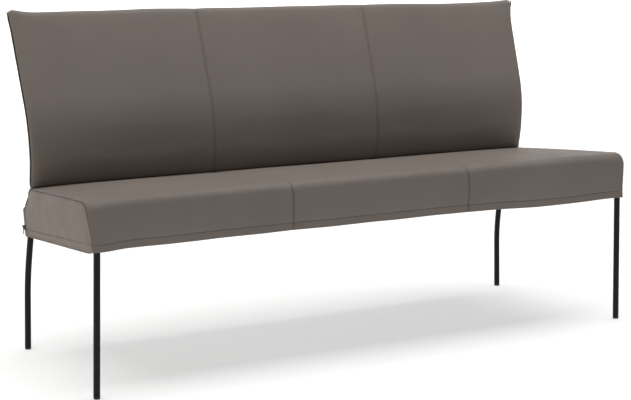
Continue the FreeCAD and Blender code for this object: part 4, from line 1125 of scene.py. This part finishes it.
def zip_strip(word, sign):
    """One zip with its two rows of coil teeth and its end folded over the back's top corner."""
    line, length = rounded_line(*zip_route(sign), ZIP_STEP)
    way = np.gradient(line, axis=0)
    way /= np.linalg.norm(way, axis=1, keepdims=True)
    first = int(np.searchsorted(length, length[-1] - FOLD_LENGTH))
    past = np.maximum(length - length[first], 0)
    lead = FOLD_LEAD[sign] - np.maximum(length[first] - length, 0)
    turn = np.minimum(past / FOLD, math.pi / 2)
    line[first:] = line[first] + way[first] * FOLD * np.sin(turn[first:, None])
    v, w = seat_place(line[:, 0], line[:, 1])
    x = edge_x(line[:, 1])
    covered = smooth((w - ZIP_OPEN + COVER_LEAD) / COVER_RUN) * (1 - ramp(w, ZIP_TURN, UNCOVER_RUN))
    x -= covered * (x - half_width(v) - end_flare(v, w) + UNDER_LEATHER)
    x += sign * edge_shift(sign * BACK_END, line[:, 1]) + FOLD_OUT[sign] * smooth(lead / LEAD_RUN)
    x -= FOLD * (1 - np.cos(turn)) + np.maximum(past - FOLD * math.pi / 2, 0)
    line[:, 0] += base_tuck(line[:, 1]) * ramp(line[:, 1], *TUCK_RAMP)
    strips = []
    for across_mm, out_mm in PROFILE:
        out = np.full(len(line), out_mm)
        if TOOTH_FROM < abs(across_mm) < TOOTH_TO:
            phase = 0 if across_mm < 0 else math.pi
            out = out - TOOTH_DIP * (1 + np.sin(2 * math.pi * length / TOOTH_PITCH + phase))
        lift = np.sin(turn) * out * MILLIMETRE
        y = line[:, 0] - way[:, 1] * across_mm * MILLIMETRE + way[:, 0] * lift
        z = line[:, 1] + way[:, 0] * across_mm * MILLIMETRE + way[:, 1] * lift
        strips.append(np.stack([sign * (x + np.cos(turn) * out * MILLIMETRE), y, z], axis=-1))
    points = np.stack(strips, axis=1)
    obj = mesh_object(f"zip_teeth_{word}", points.reshape(-1, 3), grid_faces(len(line), len(PROFILE)))
    return finished(obj, zip_tape, "zip_tape", f"zip_{word}")


for word, sign in SIDES:
    zip_strip(word, sign)
    for name in (f"zip_slider_{word}", f"zip_pull_{word}"):
        soften = frame["nodes"][name].modifiers.new("rounded_edges", "BEVEL")
        soften.width = BEVEL_WIDTH
        soften.segments = 2


# Stitching along the seams and the hem
STITCH_PITCH = 0.0058
STITCH_SPAN = 0.0042
STITCH_SIDES = 6
STITCH_LENGTHS = np.array([-0.5, -0.32, 0, 0.32, 0.5]) * STITCH_SPAN
STITCH_RADIUS = 0.00042
STITCH_RADII = np.array([0.35, 0.85, 1.0, 0.85, 0.35]) * STITCH_RADIUS
STITCH_DIPS = millimetres(-0.5, 0.05, 0.2, 0.05, -0.5)
STITCH_TURNS = np.linspace(0, 2 * math.pi, STITCH_SIDES, endpoint=False)
STITCHED_ROWS = LIP + 3
BASE_ROWS = slice(8, -6)


def along_line(place, length, values):
    """Vectors along a line read at one length."""
    return np.array([np.interp(place, length, values[:, i]) for i in range(3)])


def stitches(name, lines):
    """Short sunk stitches along lines of points with their normals."""
    points = []
    faces = []
    for line, normals in lines:
        length = run_lengths(line)
        for middle in np.arange(STITCH_PITCH / 2, length[-1] - STITCH_PITCH / 2, STITCH_PITCH):
            here = along_line(middle, length, line)
            up = along_line(middle, length, normals)
            up /= np.linalg.norm(up)
            way = along_line(middle + STITCH_SPAN / 2, length, line) - here
            way /= max(np.linalg.norm(way), SLIGHT)
            side = np.cross(up, way)
            start = len(points)
            for far, radius, dip in zip(STITCH_LENGTHS, STITCH_RADII, STITCH_DIPS):
                for turn in STITCH_TURNS:
                    around = side * math.cos(turn) + up * math.sin(turn)
                    points.append(here + way * far + up * dip + around * radius)
            for ring in range(len(STITCH_LENGTHS) - 1):
                first = start + ring * STITCH_SIDES
                for k in range(STITCH_SIDES):
                    a = first + k
                    b = first + (k + 1) % STITCH_SIDES
                    faces.append((a, b, b + STITCH_SIDES, a + STITCH_SIDES))
    obj = mesh_object(name, points, faces)
    return finished(obj, thread, "leather")


def beside_seams(places, seam):
    """The columns of a skin where stitches run, one on each side of its two seams."""
    for middle in (-seam, seam):
        for place in (middle - STITCH_OFF, middle + STITCH_OFF):
            yield int(np.argmin(np.abs(places - place)))


def seat_stitching():
    """Stitches beside the seams of the seat's front and along its hem."""
    normals = surface_normals(skin)
    lines = []
    for column in beside_seams(seat_places, SEAT_SEAM):
        lines.append((skin[:STITCHED_ROWS, column], normals[:STITCHED_ROWS, column]))
    front_hem = int(np.argmin(np.abs(RISE - HEM)))
    rear_hem = -1 - int(np.argmin(np.abs(FALL[::-1] - HEM)))
    for row in (front_hem, rear_hem):
        lines.append((skin[row, 2:-2], normals[row, 2:-2]))
    for word, sign in SIDES:
        line = side_hems[word]
        lines.append((line, np.tile(np.array([sign, 0, 0]), (len(line), 1))))
    stitches("seat_stitching", lines)


def back_stitching():
    """Stitches beside the seams of the back, clear of its base."""
    normals = surface_normals(cover)
    lines = []
    for column in beside_seams(back_places, BACK_SEAM):
        lines.append((cover[BASE_ROWS, column + 1], normals[BASE_ROWS, column + 1]))
    stitches("back_stitching", lines)


seat_stitching()
back_stitching()


# Floor, light and camera
FLOOR_REACH = 60.0
FLOOR_GLOW = 0.47
WALL_START = 7.0
WALL_CURVE = 3.0
WALL_HEIGHT = 9.0
WALL_STEPS = 14
WALL_FIRST = 0.1
WORLD_LIGHT = 0.18
CAMERA_PLACE = (-2.4514, -4.07754, 1.19163)
CAMERA_YAW = math.radians(30.59826)
CAMERA_PITCH = math.radians(9.37186)
CAMERA_LENS = 92.39
SENSOR_WIDTH = 36.0


def studio():
    """A pale floor that curves up into a pale wall."""
    arc = [(-FLOOR_REACH, 0.0), (WALL_START, 0.0)]
    for angle in np.linspace(WALL_FIRST, math.pi / 2, WALL_STEPS):
        arc.append((WALL_START + WALL_CURVE * math.sin(angle), WALL_CURVE * (1 - math.cos(angle))))
    arc.append((WALL_START + WALL_CURVE, WALL_HEIGHT))
    points = [(x, y, z) for y, z in arc for x in (-FLOOR_REACH, FLOOR_REACH)]
    floor = mesh_object("floor", points, grid_faces(len(arc), 2))
    pale, _, _ = new_material("pale_floor", (0.7, 0.7, 0.7), 0.9, Emission_Color=(1, 1, 1, 1),
                              Emission_Strength=FLOOR_GLOW)
    floor.data.materials.append(pale)


def soft_light(name, place, target, size, power, colour=(1, 1, 1)):
    """A large rectangular light that faces a point."""
    data = bpy.data.lights.new(name, "AREA")
    data.shape = "RECTANGLE"
    data.size, data.size_y = size
    data.energy = power
    data.color = colour
    lamp = bpy.data.objects.new(name, data)
    lamp.location = place
    lamp.rotation_euler = (Vector(target) - Vector(place)).to_track_quat("-Z", "Y").to_euler()
    scene.collection.objects.link(lamp)


studio()
soft_light("overhead", place=(0.2, -0.2, 3.5), target=(0.2, 0.0, 0.4), size=(6.5, 2.4), power=142)
soft_light("left", place=(-5.0, 0.9, 1.3), target=(0, 0, 0.5), size=(2.0, 2.0), power=24,
           colour=(1, 0.82, 0.6))
soft_light("wall_wash", place=(4, 5.6, 5.5), target=(5, 10.5, 0.8), size=(14, 2), power=800)
world = bpy.data.worlds.new("studio")
world.use_nodes = True
background = world.node_tree.nodes["Background"]
background.inputs["Color"].default_value = (1, 1, 1, 1)
background.inputs["Strength"].default_value = WORLD_LIGHT
scene.world = world
scene.view_settings.view_transform = "Standard"

lens = bpy.data.cameras.new("camera")
lens.sensor_fit = "HORIZONTAL"
lens.sensor_width = SENSOR_WIDTH
lens.lens = CAMERA_LENS
camera = bpy.data.objects.new("camera", lens)
camera.location = CAMERA_PLACE
level = math.cos(CAMERA_PITCH)
gaze = Vector((math.sin(CAMERA_YAW) * level, math.cos(CAMERA_YAW) * level, -math.sin(CAMERA_PITCH)))
camera.rotation_euler = gaze.to_track_quat("-Z", "Y").to_euler()
scene.collection.objects.link(camera)
scene.camera = camera
